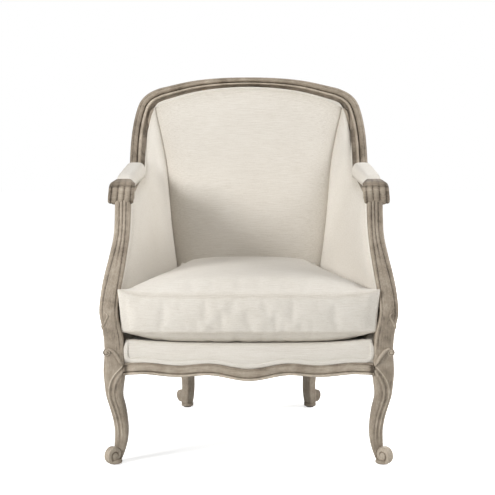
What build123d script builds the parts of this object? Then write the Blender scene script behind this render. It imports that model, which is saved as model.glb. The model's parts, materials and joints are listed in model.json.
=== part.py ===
from build123d import *
import os
from math import asin, atan, cos, degrees, radians, sin

os.makedirs("parts", exist_ok=True)

# Millimetres. Floor at Z 0, the chair faces -Y, X 0 is its middle.

# Fits
FIT = 0.2                    # glued or tacked contact between pieces of the frame
SOFT_GAP = 0.3               # a soft piece to what it rests on
CUT = 400.0                  # reach of a cutting prism

# Seat frame
FRONT_LEG_X = 337.0          # middle of a front corner block
FRONT_LEG_Y = -337.0
REAR_LEG_X = 190.0           # middle of a rear corner block
REAR_LEG_Y = 262.0
FRONT_BLOCK = 50.0
REAR_BLOCK = 40.0
SEAT_FRAME_TOP = 288.0
RAIL_HEIGHT = 60.0
RAIL_THICKNESS = 31.0
FRONT_RAIL_THICKNESS = 30.0
MOULDING_HEIGHT = 29.5       # show-wood band along the bottom of the rails
MOULDING_PROUD = 6.0
FRONT_RAIL_DIP = 215.0       # lowest point of the front rail, at the middle
FRONT_RAIL_BOW = 9.0         # bulge of the front rail in plan
TENON_LENGTH = 18.0
TENON_THICKNESS = 12.0
TENON_HEIGHT = 18.0
TENON_MARGIN = 6.0           # tenon to the nearer edge of its rail

# Legs
GLIDE_HEIGHT = 4.0
GLIDE_RADIUS = 11.0
PIN_RADIUS = 1.5
PIN_LENGTH = 12.0
FOOT_RADIUS = 17.5
FOOT_HEIGHT = 8.0
TOE_RADIUS = 18.0
TOE_WIDTH = 22.0
TOE_HEIGHT = 29.0            # middle of the toe scroll above the floor

# Back
CREST_HEIGHT = 951.0         # middle line of the crest rail, at its top
CREST_Y = 341.5
CREST_SLOPE = 0.2            # run back for each millimetre up
CREST_RADIUS = 1130.0
SHOULDER_X = 250.0
SHOULDER_RADIUS = 75.0
CREST_STEPS = 9              # sections on each half of the crest
SHOULDER_TURN = 72.0         # degrees below level where the crest meets the wing
CREST_WIDTH = 29.0
WING_WIDTH = 42.0
CREST_THICKNESS = 38.0
POST_TOP = 892.0
BACK_FRONT_Y = 193.0         # face of the inside back at BACK_LEVEL
BACK_LEVEL = 430.0
BACK_SLOPE = 0.25
BACK_REAR_Y = 256.0          # rear of the inside back pad at BACK_LEVEL
BACK_REAR_SLOPE = 0.14
BACK_CROWN = 18.0
BACK_CROWN_EDGE = 62.0       # width of the rolled edge round the crown
BACK_TUCK = 12.0             # how far the pad runs behind the inside arms
OUTSIDE_SLOPE = 0.1036       # rake of the outside back
PANEL_THICKNESS = 6.0
TACK_RAIL_Z = 333.0
TACK_RAIL_HEIGHT = 30.0
TACK_RAIL_THICKNESS = 18.0
WEBBING_WIDTH = 50.0
WEBBING_THICKNESS = 2.0
WEBBING_PITCH = 110.0

# Arms
ARM_REAR = Vector(315.0, 100.0, 688.0)
ARM_FRONT = Vector(322.0, -215.0, 680.0)
ARM_THICKNESS = 36.0
WING_DROP = 95.0             # how far the wing keeps the crest's direction
WING_REACH = 115.0           # how far it keeps the arm's direction
SCROLL_RADIUS = 31.0
SCROLL_WIDTH = 70.0
SCROLL_Y = -225.0
ARM_PAD_HEIGHT = 25.0
ARM_PAD_EDGE = 7.0
ARM_PAD_WIDTH = 44.0
INSIDE_ARM_FRONT_THICKNESS = 44.0
INSIDE_ARM_REAR_THICKNESS = 60.0
DOWEL_RADIUS = 5.0
DOWEL_LENGTH = 44.0

# Seat
WIRE_RADIUS = 1.75
SPRING_COUNT = 5
SPRING_FRONT_PITCH = 105.0
SPRING_REAR_PITCH = 62.0
SPRING_LOOPS = 21
SPRING_HALF_WIDTH = 21.0
SPRING_BEND = 9.0
CLIP_HEIGHT = 7.0
CLIP_WIDTH = 16.0
CLIP_LENGTH = 18.0
HESSIAN_THICKNESS = 1.0
DECK_TOP = 312.0
BORDER_RECESS = 4.0          # border face behind the rail's moulding
BORDER_ROUND = 6.0
CUSHION_FRONT_Y = -346.0
CUSHION_FRONT_X = 318.0
CUSHION_REAR_X = 188.0
CUSHION_LOWER_SEAM = 336.0
CUSHION_UPPER_SEAM = 427.0
CUSHION_CROWN_TOP = 468.0
CUSHION_BACK_GAP = 4.0
BELLY_EDGE = 60.0            # draw-in of the flat underside
CROWN_EDGE = 140.0           # draw-in of the crown's top
BOXING_SWELL = 1.5
SIDE_DRAW = 3.0              # how far the sides are drawn in between the corners
ZIP_LENGTH = 330.0
ZIP_POCKET_DEPTH = 7.0
ZIP_POCKET_HEIGHT = 26.0
ZIP_TAPE_THICKNESS = 1.2
ZIP_CHAIN_WIDTH = 4.5
ZIP_CHAIN_HEIGHT = 2.0
ZIP_RUN_GAP = 0.3
SLIDER_LENGTH = 10.0
SLIDER_HEIGHT = 9.0
SLIDER_THICKNESS = 4.6

# Corner blocks
CORNER_LEG = 70.0
CORNER_HEIGHT = 34.0
SCREW_RADIUS = 2.5
SCREW_HEAD_RADIUS = 5.0
SCREW_HEAD_HEIGHT = 3.0
SCREW_LENGTH = 45.0
DUST_THICKNESS = 1.0

# Worked out from the values above
RAIL_BOTTOM = SEAT_FRAME_TOP - RAIL_HEIGHT
FRONT_BLOCK_IN = FRONT_LEG_X - FRONT_BLOCK / 2
FRONT_BLOCK_BACK = FRONT_LEG_Y + FRONT_BLOCK / 2
REAR_BLOCK_IN = REAR_LEG_X - REAR_BLOCK / 2
REAR_BLOCK_FRONT = REAR_LEG_Y - REAR_BLOCK / 2
FRONT_RAIL_BACK = FRONT_BLOCK_BACK + 4.0
FRONT_RAIL_FACE = FRONT_RAIL_BACK - FRONT_RAIL_THICKNESS
FRONT_MOULD_FACE = FRONT_LEG_Y - FRONT_BLOCK / 2 + 9.0
BACK_RAIL_THICKNESS = REAR_BLOCK - 1.0
UPPER_TENON_Z = SEAT_FRAME_TOP - TENON_MARGIN - TENON_HEIGHT
LOWER_TENON_Z = RAIL_BOTTOM + TENON_MARGIN
SCREW_Z = (UPPER_TENON_Z + LOWER_TENON_Z + TENON_HEIGHT) / 2
WIRE_Z = SEAT_FRAME_TOP + CLIP_HEIGHT / 2
HESSIAN_BASE = SEAT_FRAME_TOP + CLIP_HEIGHT + FIT
DECK_BASE = HESSIAN_BASE + HESSIAN_THICKNESS + FIT
CUSHION_BASE = DECK_TOP + SOFT_GAP
CREST_ARC_TURN = degrees(asin(SHOULDER_X / CREST_RADIUS))
CREST_RAKE = atan(CREST_SLOPE)
CREST_OUT = Vector(1, 0, 0)
CREST_UP = Vector(0, sin(CREST_RAKE), cos(CREST_RAKE))
CREST_MIDDLE = Vector(0, CREST_Y, CREST_HEIGHT)
OUTSIDE_Y = REAR_LEG_Y + REAR_BLOCK / 2 + FIT + OUTSIDE_SLOPE * (RAIL_HEIGHT - MOULDING_HEIGHT)
HALF = Vector(1, 1, 0).normalized().X

# Shapes along a curve: (share of the height, shift outward along the diagonal, width)
FRONT_LEG_CURVE = (
    (0.80, 0.0, 47.0),
    (0.715, -1.0, 46.0),
    (0.608, -2.5, 41.0),
    (0.497, -10.0, 38.0),
    (0.385, -16.0, 36.0),
    (0.274, -18.0, 32.0),
    (0.184, -15.0, 30.0),
    (0.083, -9.0, 29.0),
)
# (share of the height, shift in X, shift in Y, width)
REAR_LEG_CURVE = (
    (0.80, 0.0, 2.0, 28.0),
    (0.62, -4.0, 9.0, 33.0),
    (0.45, -9.0, 15.0, 32.0),
    (0.28, -12.0, 20.0, 30.0),
    (0.16, -11.5, 25.0, 29.0),
    (0.083, -9.5, 28.0, 28.0),
)
# (share of the way from seat frame to post top, shift in X, shift in Y, width, depth)
POST_CURVE = (
    (0.0, 0.0, 0.0, 38.0, 38.0),
    (0.235, 21.0, 12.0, 34.0, 32.0),
    (0.573, 46.0, 33.0, 32.0, 30.0),
    (0.78, 70.0, 48.0, 30.0, 28.0),
    (1.0, 104.0, 66.0, 28.0, 26.0),
)
# (share of the way from seat frame to handhold, shift in X, shift in Y, width, depth)
STUMP_CURVE = (
    (0.0, 0.0, 0.0, 50.0, 50.0),
    (0.09, 3.5, 2.0, 51.0, 50.0),
    (0.245, 17.5, 7.0, 51.0, 50.0),
    (0.375, 13.5, 19.0, 50.0, 48.0),
    (0.49, 5.0, 37.0, 49.0, 46.0),
    (0.61, -3.5, 59.0, 46.0, 43.0),
    (0.74, -12.0, 82.0, 41.0, 40.0),
    (0.92, -15.0, 104.0, 40.0, 42.0),
    (1.0, -15.0, 110.0, 40.0, 44.0),
)
FRONT_FOOT_SHIFT = -3.0
FRONT_TOE_SHIFT = 4.0
REAR_FOOT = Vector(REAR_LEG_X - 9.0, REAR_LEG_Y + 30.0, 0)
REAR_TOE = Vector(REAR_LEG_X + 3.0, REAR_LEG_Y + 42.0, TOE_HEIGHT + 3.0)


def write(name, part):
    """Labels a finished piece and writes its file."""
    part.label = name
    export_step(part, f"parts/{name}.step")


def write_pair(stem, right_part):
    """Writes a right-hand piece and its mirror image."""
    write(f"{stem}_right", right_part)
    with BuildPart() as left:
        mirror(right_part, about=Plane.YZ)
    write(f"{stem}_left", left.part)


def through(stations):
    """Solid through rounded rectangles: plane, width, depth and corner radius at each."""
    with BuildPart() as solid:
        for plane, width, depth, radius in stations:
            with BuildSketch(plane):
                RectangleRounded(width, depth, radius)
        loft()
    return solid.part


def prism(points, plane, depth, both=False):
    """Closed outline of straight lines, extruded from its plane."""
    with BuildPart() as solid:
        with BuildSketch(plane):
            with BuildLine():
                Polyline(*points, close=True)
            make_face()
        extrude(amount=depth, both=both)
    return solid.part


def raked(y_at_level, level, slope):
    """Plane that leans back by slope, facing the front, with its origin at the level."""
    lean = atan(slope)
    return Plane((0, y_at_level, level), x_dir=(1, 0, 0), z_dir=(0, -cos(lean), sin(lean)))


def up(z, level, slope):
    """Height z as a distance up a raked plane."""
    return (z - level) / cos(atan(slope))


# Curved show-wood: the crest, the wings and the arms follow one line
def crest_point(turn):
    """Point on the crest's middle line where it has turned this far below level."""
    first = min(abs(turn), CREST_ARC_TURN)
    out = CREST_RADIUS * sin(radians(first))
    drop = CREST_RADIUS * (1 - cos(radians(first)))
    if abs(turn) > first:
        out += SHOULDER_RADIUS * (sin(radians(abs(turn))) - sin(radians(first)))
        drop += SHOULDER_RADIUS * (cos(radians(first)) - cos(radians(abs(turn))))
    side = -1 if turn < 0 else 1
    return CREST_MIDDLE + CREST_OUT * (side * out) - CREST_UP * drop


def crest_turn(share):
    """Turn below level at a share of the crest's half length, so that sections are evenly spaced."""
    arc = radians(CREST_ARC_TURN) * CREST_RADIUS
    shoulder = radians(SHOULDER_TURN - CREST_ARC_TURN) * SHOULDER_RADIUS
    run = abs(share) * (arc + shoulder)
    turn = min(run, arc) / CREST_RADIUS + max(run - arc, 0.0) / SHOULDER_RADIUS
    return degrees(turn) if share > 0 else -degrees(turn)


def crest_plane(turn):
    """Section plane of the crest: X points out of the arch, Y to the front."""
    along = CREST_OUT * cos(radians(turn)) - CREST_UP * sin(radians(turn))
    outward = CREST_OUT * sin(radians(turn)) + CREST_UP * cos(radians(turn))
    return Plane(crest_point(turn), x_dir=outward, z_dir=along)


def rail_plane(point, along):
    """Section plane of a wing or arm rail: X points outward, Y out of the show face."""
    along = along.normalized()
    outward = (Vector(1, 0, 0) - along * along.X).normalized()
    return Plane(point, x_dir=outward, z_dir=along)


CREST_END = crest_point(SHOULDER_TURN)
CREST_END_ALONG = crest_plane(SHOULDER_TURN).z_dir
ARM_ALONG = (ARM_FRONT - ARM_REAR).normalized()
WING_POLE_1 = CREST_END + CREST_END_ALONG * WING_DROP
WING_POLE_2 = ARM_REAR - ARM_ALONG * WING_REACH


def wing_point(share):
    """Point on the wing's cubic curve, 0 at the crest and 1 at the arm."""
    rest = 1 - share
    return (
        CREST_END * rest**3
        + WING_POLE_1 * (3 * rest * rest * share)
        + WING_POLE_2 * (3 * rest * share * share)
        + ARM_REAR * share**3
    )


def wing_along(share):
    """Direction of the wing's curve."""
    rest = 1 - share
    return (
        (WING_POLE_1 - CREST_END) * (rest * rest)
        + (WING_POLE_2 - WING_POLE_1) * (2 * rest * share)
        + (ARM_REAR - WING_POLE_2) * (share * share)
    )


def arm_point(share):
    """Point on the arm's straight line, 0 at the wing and 1 at the handhold."""
    return ARM_REAR + (ARM_FRONT - ARM_REAR) * share


def crest_solid(grow=0.0):
    """Crest rail, widening from its middle to the shoulders."""
    stations = []
    for step in range(-CREST_STEPS, CREST_STEPS + 1):
        share = step / CREST_STEPS
        width = CREST_WIDTH + (WING_WIDTH - CREST_WIDTH) * share**2 + 2 * grow
        stations.append((crest_plane(crest_turn(share)), width, CREST_THICKNESS + 2 * grow, 8))
    return through(stations)


def wing_solid(grow=0.0):
    """Right wing rail from the crest's end to the arm's rear."""
    stations = []
    for share in (0.0, 0.17, 0.34, 0.5, 0.66, 0.83, 1.0):
        thickness = CREST_THICKNESS + (ARM_THICKNESS - CREST_THICKNESS) * share
        plane = rail_plane(wing_point(share), wing_along(share))
        stations.append((plane, WING_WIDTH + 2 * grow, thickness + 2 * grow, 8))
    return through(stations)


def arm_solid(grow=0.0):
    """Right arm rail with its scroll handhold."""
    stations = []
    for share in (0.0, 0.5, 1.0):
        plane = rail_plane(arm_point(share), ARM_ALONG)
        stations.append((plane, WING_WIDTH + 2 * grow, ARM_THICKNESS + 2 * grow, 8))
    scroll_start = ARM_FRONT.X - SCROLL_WIDTH / 2 - grow
    scroll_plane = Plane((scroll_start, SCROLL_Y, ARM_FRONT.Z), x_dir=(0, 1, 0), z_dir=(1, 0, 0))
    with BuildPart() as arm:
        add(through(stations))
        with BuildSketch(scroll_plane):
            Circle(SCROLL_RADIUS + grow)
        extrude(amount=SCROLL_WIDTH + 2 * grow)
    return arm.part


STUMP_TOP = ARM_FRONT.Z - SCROLL_RADIUS / 2


def stump_place(share, shift_x, shift_y):
    """Middle of the right stump at a share of its height."""
    height = SEAT_FRAME_TOP + (STUMP_TOP - SEAT_FRAME_TOP) * share
    return Vector(FRONT_LEG_X + shift_x, FRONT_LEG_Y + shift_y, height)


def stump_solid(grow=0.0):
    """Right arm stump, an S from the leg block up to the handhold."""
    stations = []
    for share, shift_x, shift_y, width, depth in STUMP_CURVE:
        plane = Plane(stump_place(share, shift_x, shift_y))
        stations.append((plane, width + 2 * grow, depth + 2 * grow, 9))
    return through(stations)


def post_solid(grow=0.0):
    """Right back post above the seat frame."""
    stations = []
    for share, shift_x, shift_y, width, depth in POST_CURVE:
        height = SEAT_FRAME_TOP + (POST_TOP - SEAT_FRAME_TOP) * share
        plane = Plane((REAR_LEG_X + shift_x, REAR_LEG_Y + shift_y, height))
        stations.append((plane, width + 2 * grow, depth + 2 * grow, 6))
    return through(stations)


# Dowels stand across the joints of the right half of the frame
def dowel_planes():
    """Planes at the middle of each dowel, normal to the joint."""
    return (
        Plane(crest_point(SHOULDER_TURN), z_dir=CREST_END_ALONG),
        Plane(ARM_REAR, z_dir=ARM_ALONG),
        Plane((FRONT_LEG_X, FRONT_LEG_Y, SEAT_FRAME_TOP)),
    )


def dowel_solids(grow=0.0):
    """The right half's dowels, or their holes when grown."""
    with BuildPart() as pegs:
        for plane in dowel_planes():
            with BuildSketch(plane):
                Circle(DOWEL_RADIUS + grow)
            extrude(amount=DOWEL_LENGTH / 2 + grow, both=True)
    return pegs.part


DOWEL_HOLES = dowel_solids(FIT)


# Rails: the side rail runs straight from the front block to the rear block
SIDE_RUN = (REAR_LEG_X - FRONT_LEG_X) / (REAR_BLOCK_FRONT - FRONT_BLOCK_BACK)


def side_x(y):
    """Middle of the right side rail at y."""
    return FRONT_LEG_X + SIDE_RUN * (y - FRONT_BLOCK_BACK)


def side_strip(inner, outer, front_y, rear_y, base, height):
    """Slanted bar along the right side rail, from inner to outer of its middle line."""
    points = (
        (side_x(front_y) + inner, front_y),
        (side_x(front_y) + outer, front_y),
        (side_x(rear_y) + outer, rear_y),
        (side_x(rear_y) + inner, rear_y),
    )
    return prism(points, Plane.XY.offset(base), height)


def side_tenons(grow=0.0):
    """Both tenons of the right side rail, as one bar through it."""
    half = TENON_THICKNESS / 2 + grow
    return side_strip(
        -half,
        half,
        FRONT_BLOCK_BACK - TENON_LENGTH - grow,
        REAR_BLOCK_FRONT + TENON_LENGTH + grow,
        LOWER_TENON_Z - grow,
        TENON_HEIGHT + 2 * grow,
    )


def cross_tenons(half_length, middle_y, grow=0.0):
    """Both tenons of a front or back rail, as one bar through it."""
    x = half_length + TENON_LENGTH + grow
    y = TENON_THICKNESS / 2 + grow
    points = ((-x, middle_y - y), (x, middle_y - y), (x, middle_y + y), (-x, middle_y + y))
    return prism(points, Plane.XY.offset(UPPER_TENON_Z - grow), TENON_HEIGHT + 2 * grow)


FRONT_TENON_Y = (FRONT_RAIL_FACE + FRONT_RAIL_BACK) / 2


def wave_points(lift):
    """Lower edge of the front rail, lifted: it dips in the middle, then waves to the legs."""
    waves = ((97.0, 13.6), (177.0, 8.6), (262.0, 16.0), (FRONT_BLOCK_IN, 14.5))
    right = [(x, FRONT_RAIL_DIP + rise + lift) for x, rise in waves]
    left = [(-x, z) for x, z in reversed(right)]
    return left + [(0.0, FRONT_RAIL_DIP + lift)] + right


def serpentine(recess):
    """Front face of the rail in plan, bowed at the middle and near the legs."""
    bows = ((110.0, 0.35), (210.0, 0.0), (FRONT_BLOCK_IN, 0.55))
    right = [(x, FRONT_MOULD_FACE - FRONT_RAIL_BOW * share + recess) for x, share in bows]
    left = [(-x, y) for x, y in reversed(right)]
    return left + [(0.0, FRONT_MOULD_FACE - FRONT_RAIL_BOW + recess)] + right


def band(lift, top_points, face_y, back_y, recess):
    """Slab in front elevation between the waved edge and a top edge, cut to the serpentine."""
    lower = wave_points(lift)
    with BuildPart() as slab:
        with BuildSketch(Plane.XZ.offset(-back_y)):
            with BuildLine():
                edge = Spline(*lower)
                if len(top_points) > 2:
                    rim = Spline(*top_points)
                else:
                    rim = Line(*top_points)
                Line(edge @ 0, rim @ 0)
                Line(edge @ 1, rim @ 1)
            make_face()
        extrude(amount=back_y - face_y)
        if recess is not None:
            curve = serpentine(recess)
            with BuildSketch(Plane.XY.offset(FRONT_RAIL_DIP - CUT / 2), mode=Mode.PRIVATE) as plan:
                with BuildLine():
                    bow = Spline(*curve)
                    Polyline(bow @ 1, (curve[-1][0], back_y + 1), (curve[0][0], back_y + 1), bow @ 0)
                make_face()
            extrude(plan.sketch, amount=CUT, mode=Mode.INTERSECT)
    return slab.part


# Front legs
def leg_point(shift, height):
    """Point on the right front leg's diagonal."""
    return Vector(FRONT_LEG_X + shift, FRONT_LEG_Y - shift, height)


def toe_scroll(middle, toward):
    """Roll of a scroll toe, its axis level and square to the leg's diagonal."""
    across = Vector(-toward.Y, toward.X, 0)
    with BuildPart() as roll:
        with BuildSketch(Plane(middle, x_dir=(0, 0, 1), z_dir=across)):
            Circle(TOE_RADIUS)
        extrude(amount=TOE_WIDTH / 2, both=True)
    return roll.part


def foot(middle):
    """Small round pad under a toe, bored for the glide's pin."""
    with BuildPart() as pad:
        with BuildSketch(Plane((middle.X, middle.Y, GLIDE_HEIGHT))):
            Circle(FOOT_RADIUS)
        extrude(amount=FOOT_HEIGHT)
    return pad.part


def pin_hole(middle):
    """Bore for a glide's pin."""
    with BuildPart() as bore:
        with BuildSketch(Plane((middle.X, middle.Y, 0))):
            Circle(PIN_RADIUS + FIT / 2)
        extrude(amount=GLIDE_HEIGHT + PIN_LENGTH + FIT)
    return bore.part


def bar(start, toward, radius, length):
    """Round bar from a point."""
    with BuildPart() as solid:
        with BuildSketch(Plane(start, z_dir=toward)):
            Circle(radius)
        extrude(amount=length)
    return solid.part


FRONT_DIAGONAL = Vector(HALF, -HALF, 0)
REAR_DIAGONAL = Vector(HALF, HALF, 0)
FRONT_FOOT = leg_point(FRONT_FOOT_SHIFT, 0)


def front_corner_outline():
    """Right front corner block in plan, against the front and side rails."""
    y = FRONT_RAIL_BACK + FIT
    inner = -RAIL_THICKNESS / 2 - FIT
    corner = (FRONT_BLOCK_IN - FIT, y)
    along = y + CORNER_LEG
    return (corner, (side_x(y) + inner, y), (side_x(along) + inner, along), (corner[0] - CORNER_LEG, y))


def rear_corner_outline():
    """Right rear corner block in plan, against the back and side rails."""
    y = REAR_BLOCK_FRONT - FIT
    inner = -RAIL_THICKNESS / 2 - FIT
    along = y - CORNER_LEG
    corner_x = side_x(y) + inner
    return ((corner_x, y), (side_x(along) + inner, along), (corner_x - CORNER_LEG, y))


SCREW_INSET = 30.0           # screw from the end of its cross rail
SCREW_BITE = 20.0            # screw's reach into the cross rail


def screw_start(rail_x, rail_y, side):
    """Head of a corner screw, side is -1 at the front and 1 at the rear."""
    return Vector(rail_x - SCREW_INSET, rail_y - side * (SCREW_LENGTH - SCREW_BITE), SCREW_Z)


SCREWS = (
    (screw_start(FRONT_BLOCK_IN, FRONT_RAIL_BACK, -1), Vector(0, -1, 0)),
    (screw_start(REAR_BLOCK_IN, REAR_LEG_Y - BACK_RAIL_THICKNESS / 2, 1), Vector(0, 1, 0)),
)


def screw_solid(start, toward, grow=0.0):
    """One corner screw with its head, or its bore when grown."""
    with BuildPart() as screw:
        add(bar(start, toward, SCREW_RADIUS + grow, SCREW_LENGTH + grow))
        add(bar(start, toward * -1, SCREW_HEAD_RADIUS + grow, SCREW_HEAD_HEIGHT + CUT * grow))
    return screw.part


with BuildPart() as front_leg:
    with BuildSketch(Plane((FRONT_LEG_X, FRONT_LEG_Y, FRONT_LEG_CURVE[0][0] * SEAT_FRAME_TOP))):
        RectangleRounded(FRONT_BLOCK, FRONT_BLOCK, 8)
    extrude(amount=SEAT_FRAME_TOP * (1 - FRONT_LEG_CURVE[0][0]))
    leg_stations = []
    for share, shift, width in FRONT_LEG_CURVE:
        leg_stations.append((Plane(leg_point(shift, share * SEAT_FRAME_TOP)), width, width, width * 0.16))
    leg_stations.append((Plane(leg_point(FRONT_FOOT_SHIFT, GLIDE_HEIGHT + 1)), 24.0, 24.0, 4.0))
    add(through(leg_stations))
    add(toe_scroll(leg_point(FRONT_TOE_SHIFT, TOE_HEIGHT), FRONT_DIAGONAL))
    add(foot(FRONT_FOOT))
    add(pin_hole(FRONT_FOOT), mode=Mode.SUBTRACT)
    add(side_tenons(FIT), mode=Mode.SUBTRACT)
    add(cross_tenons(FRONT_BLOCK_IN, FRONT_TENON_Y, FIT), mode=Mode.SUBTRACT)
    add(DOWEL_HOLES, mode=Mode.SUBTRACT)
write_pair("front_leg", front_leg.part)

# Rear legs and posts
TACK_RAIL_Y = REAR_LEG_Y + 4.0


def tack_rail_solid(grow=0.0):
    """Lower back rail housed in both posts."""
    x = REAR_LEG_X - 2.0 + grow
    y = TACK_RAIL_THICKNESS / 2 + grow
    points = ((-x, TACK_RAIL_Y - y), (x, TACK_RAIL_Y - y), (x, TACK_RAIL_Y + y), (-x, TACK_RAIL_Y + y))
    base = TACK_RAIL_Z - TACK_RAIL_HEIGHT / 2 - grow
    return prism(points, Plane.XY.offset(base), TACK_RAIL_HEIGHT + 2 * grow)


CREST_CUT = crest_solid(FIT)
WING_CUT = wing_solid(FIT)
ARM_CUT = arm_solid(FIT)
STUMP_CUT = stump_solid(FIT)

with BuildPart() as rear_post:
    with BuildSketch(Plane((REAR_LEG_X, REAR_LEG_Y, REAR_LEG_CURVE[0][0] * SEAT_FRAME_TOP - 4))):
        RectangleRounded(REAR_BLOCK, REAR_BLOCK, 5)
    extrude(amount=SEAT_FRAME_TOP * (1 - REAR_LEG_CURVE[0][0]) + 4)
    rear_stations = []
    for share, shift_x, shift_y, width in REAR_LEG_CURVE:
        place = (REAR_LEG_X + shift_x, REAR_LEG_Y + shift_y, share * SEAT_FRAME_TOP)
        rear_stations.append((Plane(place, x_dir=REAR_DIAGONAL), width, width, width * 0.16))
    low = Plane((REAR_FOOT.X, REAR_FOOT.Y, GLIDE_HEIGHT + 1), x_dir=REAR_DIAGONAL)
    rear_stations.append((low, 22.0, 22.0, 4.0))
    add(through(rear_stations))
    add(toe_scroll(REAR_TOE, REAR_DIAGONAL))
    add(foot(REAR_FOOT))
    add(post_solid())
    add(pin_hole(REAR_FOOT), mode=Mode.SUBTRACT)
    add(side_tenons(FIT), mode=Mode.SUBTRACT)
    add(cross_tenons(REAR_BLOCK_IN, REAR_LEG_Y, FIT), mode=Mode.SUBTRACT)
    add(tack_rail_solid(FIT), mode=Mode.SUBTRACT)
    add(CREST_CUT, mode=Mode.SUBTRACT)
    add(WING_CUT, mode=Mode.SUBTRACT)
write_pair("rear_post", rear_post.part)

# Seat rails
def cut_screws(start, toward):
    """Bores a pair of corner screws into the rail being built."""
    hole = screw_solid(start, toward, FIT)
    add(hole, mode=Mode.SUBTRACT)
    other_hole = mirror(hole, about=Plane.YZ, mode=Mode.PRIVATE)
    add(other_hole, mode=Mode.SUBTRACT)


with BuildPart() as front_rail:
    top_edge = [(-FRONT_BLOCK_IN, SEAT_FRAME_TOP), (FRONT_BLOCK_IN, SEAT_FRAME_TOP)]
    add(band(0.0, top_edge, FRONT_RAIL_FACE, FRONT_RAIL_BACK, None))
    add(band(0.0, wave_points(MOULDING_HEIGHT), FRONT_RAIL_FACE - 40, FRONT_RAIL_FACE, 0.0))
    add(cross_tenons(FRONT_BLOCK_IN, FRONT_TENON_Y))
    cut_screws(*SCREWS[0])
write("front_rail", front_rail.part)

with BuildPart() as side_rail:
    half = RAIL_THICKNESS / 2
    proud = half + MOULDING_PROUD
    ends = (FRONT_BLOCK_BACK + FIT, REAR_BLOCK_FRONT - FIT)
    add(side_strip(-half, half, *ends, RAIL_BOTTOM, RAIL_HEIGHT))
    add(side_strip(half, proud, *ends, RAIL_BOTTOM, MOULDING_HEIGHT))
    add(side_tenons())
write_pair("side_rail", side_rail.part)

with BuildPart() as back_rail:
    with BuildSketch(Plane((0, REAR_LEG_Y, RAIL_BOTTOM))):
        Rectangle(2 * (REAR_BLOCK_IN - FIT), BACK_RAIL_THICKNESS)
    extrude(amount=RAIL_HEIGHT)
    add(cross_tenons(REAR_BLOCK_IN, REAR_LEG_Y))
    cut_screws(*SCREWS[1])
write("back_rail", back_rail.part)

with BuildPart() as tack_rail:
    add(tack_rail_solid())
write("tack_rail", tack_rail.part)

# Crest, wings, arms and stumps
with BuildPart() as crest_rail:
    add(crest_solid())
    add(DOWEL_HOLES, mode=Mode.SUBTRACT)
    mirrored_holes = mirror(DOWEL_HOLES, about=Plane.YZ, mode=Mode.PRIVATE)
    add(mirrored_holes, mode=Mode.SUBTRACT)
write("crest_rail", crest_rail.part)

with BuildPart() as wing_rail:
    add(wing_solid())
    add(DOWEL_HOLES, mode=Mode.SUBTRACT)
write_pair("wing_rail", wing_rail.part)

with BuildPart() as arm_rail:
    add(arm_solid())
    add(DOWEL_HOLES, mode=Mode.SUBTRACT)
write_pair("arm_rail", arm_rail.part)

with BuildPart() as arm_stump:
    add(stump_solid())
    add(ARM_CUT, mode=Mode.SUBTRACT)
    add(DOWEL_HOLES, mode=Mode.SUBTRACT)
write_pair("arm_stump", arm_stump.part)

with BuildPart() as dowels:
    right_dowels = dowel_solids()
    add(right_dowels)
    mirror(right_dowels, about=Plane.YZ)
write("frame_dowels", dowels.part)

# Corner blocks with their screws
with BuildPart() as corner_blocks:
    for outline, (start, toward) in zip((front_corner_outline(), rear_corner_outline()), SCREWS):
        base = Plane.XY.offset(SCREW_Z - CORNER_HEIGHT / 2)
        block = prism(outline, base, CORNER_HEIGHT) - screw_solid(start, toward, FIT)
        add(block)
        mirror(block, about=Plane.YZ)
write("corner_blocks", corner_blocks.part)

with BuildPart() as corner_screws:
    for start, toward in SCREWS:
        screw = screw_solid(start, toward)
        add(screw)
        mirror(screw, about=Plane.YZ)
write("corner_screws", corner_screws.part)

with BuildPart() as glides:
    for middle in (FRONT_FOOT, REAR_FOOT):
        for side in (-1, 1):
            with BuildSketch(Plane((side * middle.X, middle.Y, 0))):
                Circle(GLIDE_RADIUS)
            extrude(amount=GLIDE_HEIGHT)
            with BuildSketch(Plane((side * middle.X, middle.Y, GLIDE_HEIGHT))):
                Circle(PIN_RADIUS)
            extrude(amount=PIN_LENGTH)
write("glides", glides.part)


# Seat springs: zigzag wire from the front rail to the back rail
SPRING_FRONT_Y = FRONT_TENON_Y
SPRING_REAR_Y = REAR_LEG_Y - 4.0


def spring_ends(index):
    """Front and rear ends of one spring's middle line."""
    place = index - (SPRING_COUNT - 1) / 2
    front = Vector(place * SPRING_FRONT_PITCH, SPRING_FRONT_Y, WIRE_Z)
    rear = Vector(place * SPRING_REAR_PITCH, SPRING_REAR_Y, WIRE_Z)
    return front, rear


def spring_wire(index):
    """One sinuous spring: straight ends in the clips, loops from side to side between."""
    front, rear = spring_ends(index)
    run = (rear - front).length
    lead = CLIP_LENGTH
    pitch = (run - 2 * lead) / SPRING_LOOPS
    points = [(-CLIP_LENGTH / 2, 0), (lead, 0)]
    for loop in range(SPRING_LOOPS):
        side = SPRING_HALF_WIDTH if loop % 2 else -SPRING_HALF_WIDTH
        points.append((lead + loop * pitch, side))
        points.append((lead + (loop + 1) * pitch, side))
    points.append((run - lead, 0))
    points.append((run + CLIP_LENGTH / 2, 0))
    plane = Plane(front, x_dir=rear - front)
    with BuildPart() as wire:
        with BuildLine(plane) as path:
            FilletPolyline(*points, radius=SPRING_BEND)
        with BuildSketch(Plane(path.line @ 0, z_dir=path.line % 0)):
            Circle(WIRE_RADIUS)
        sweep()
    return wire.part


with BuildPart() as seat_springs:
    for index in range(SPRING_COUNT):
        add(spring_wire(index))
write("seat_springs", seat_springs.part)

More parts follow.
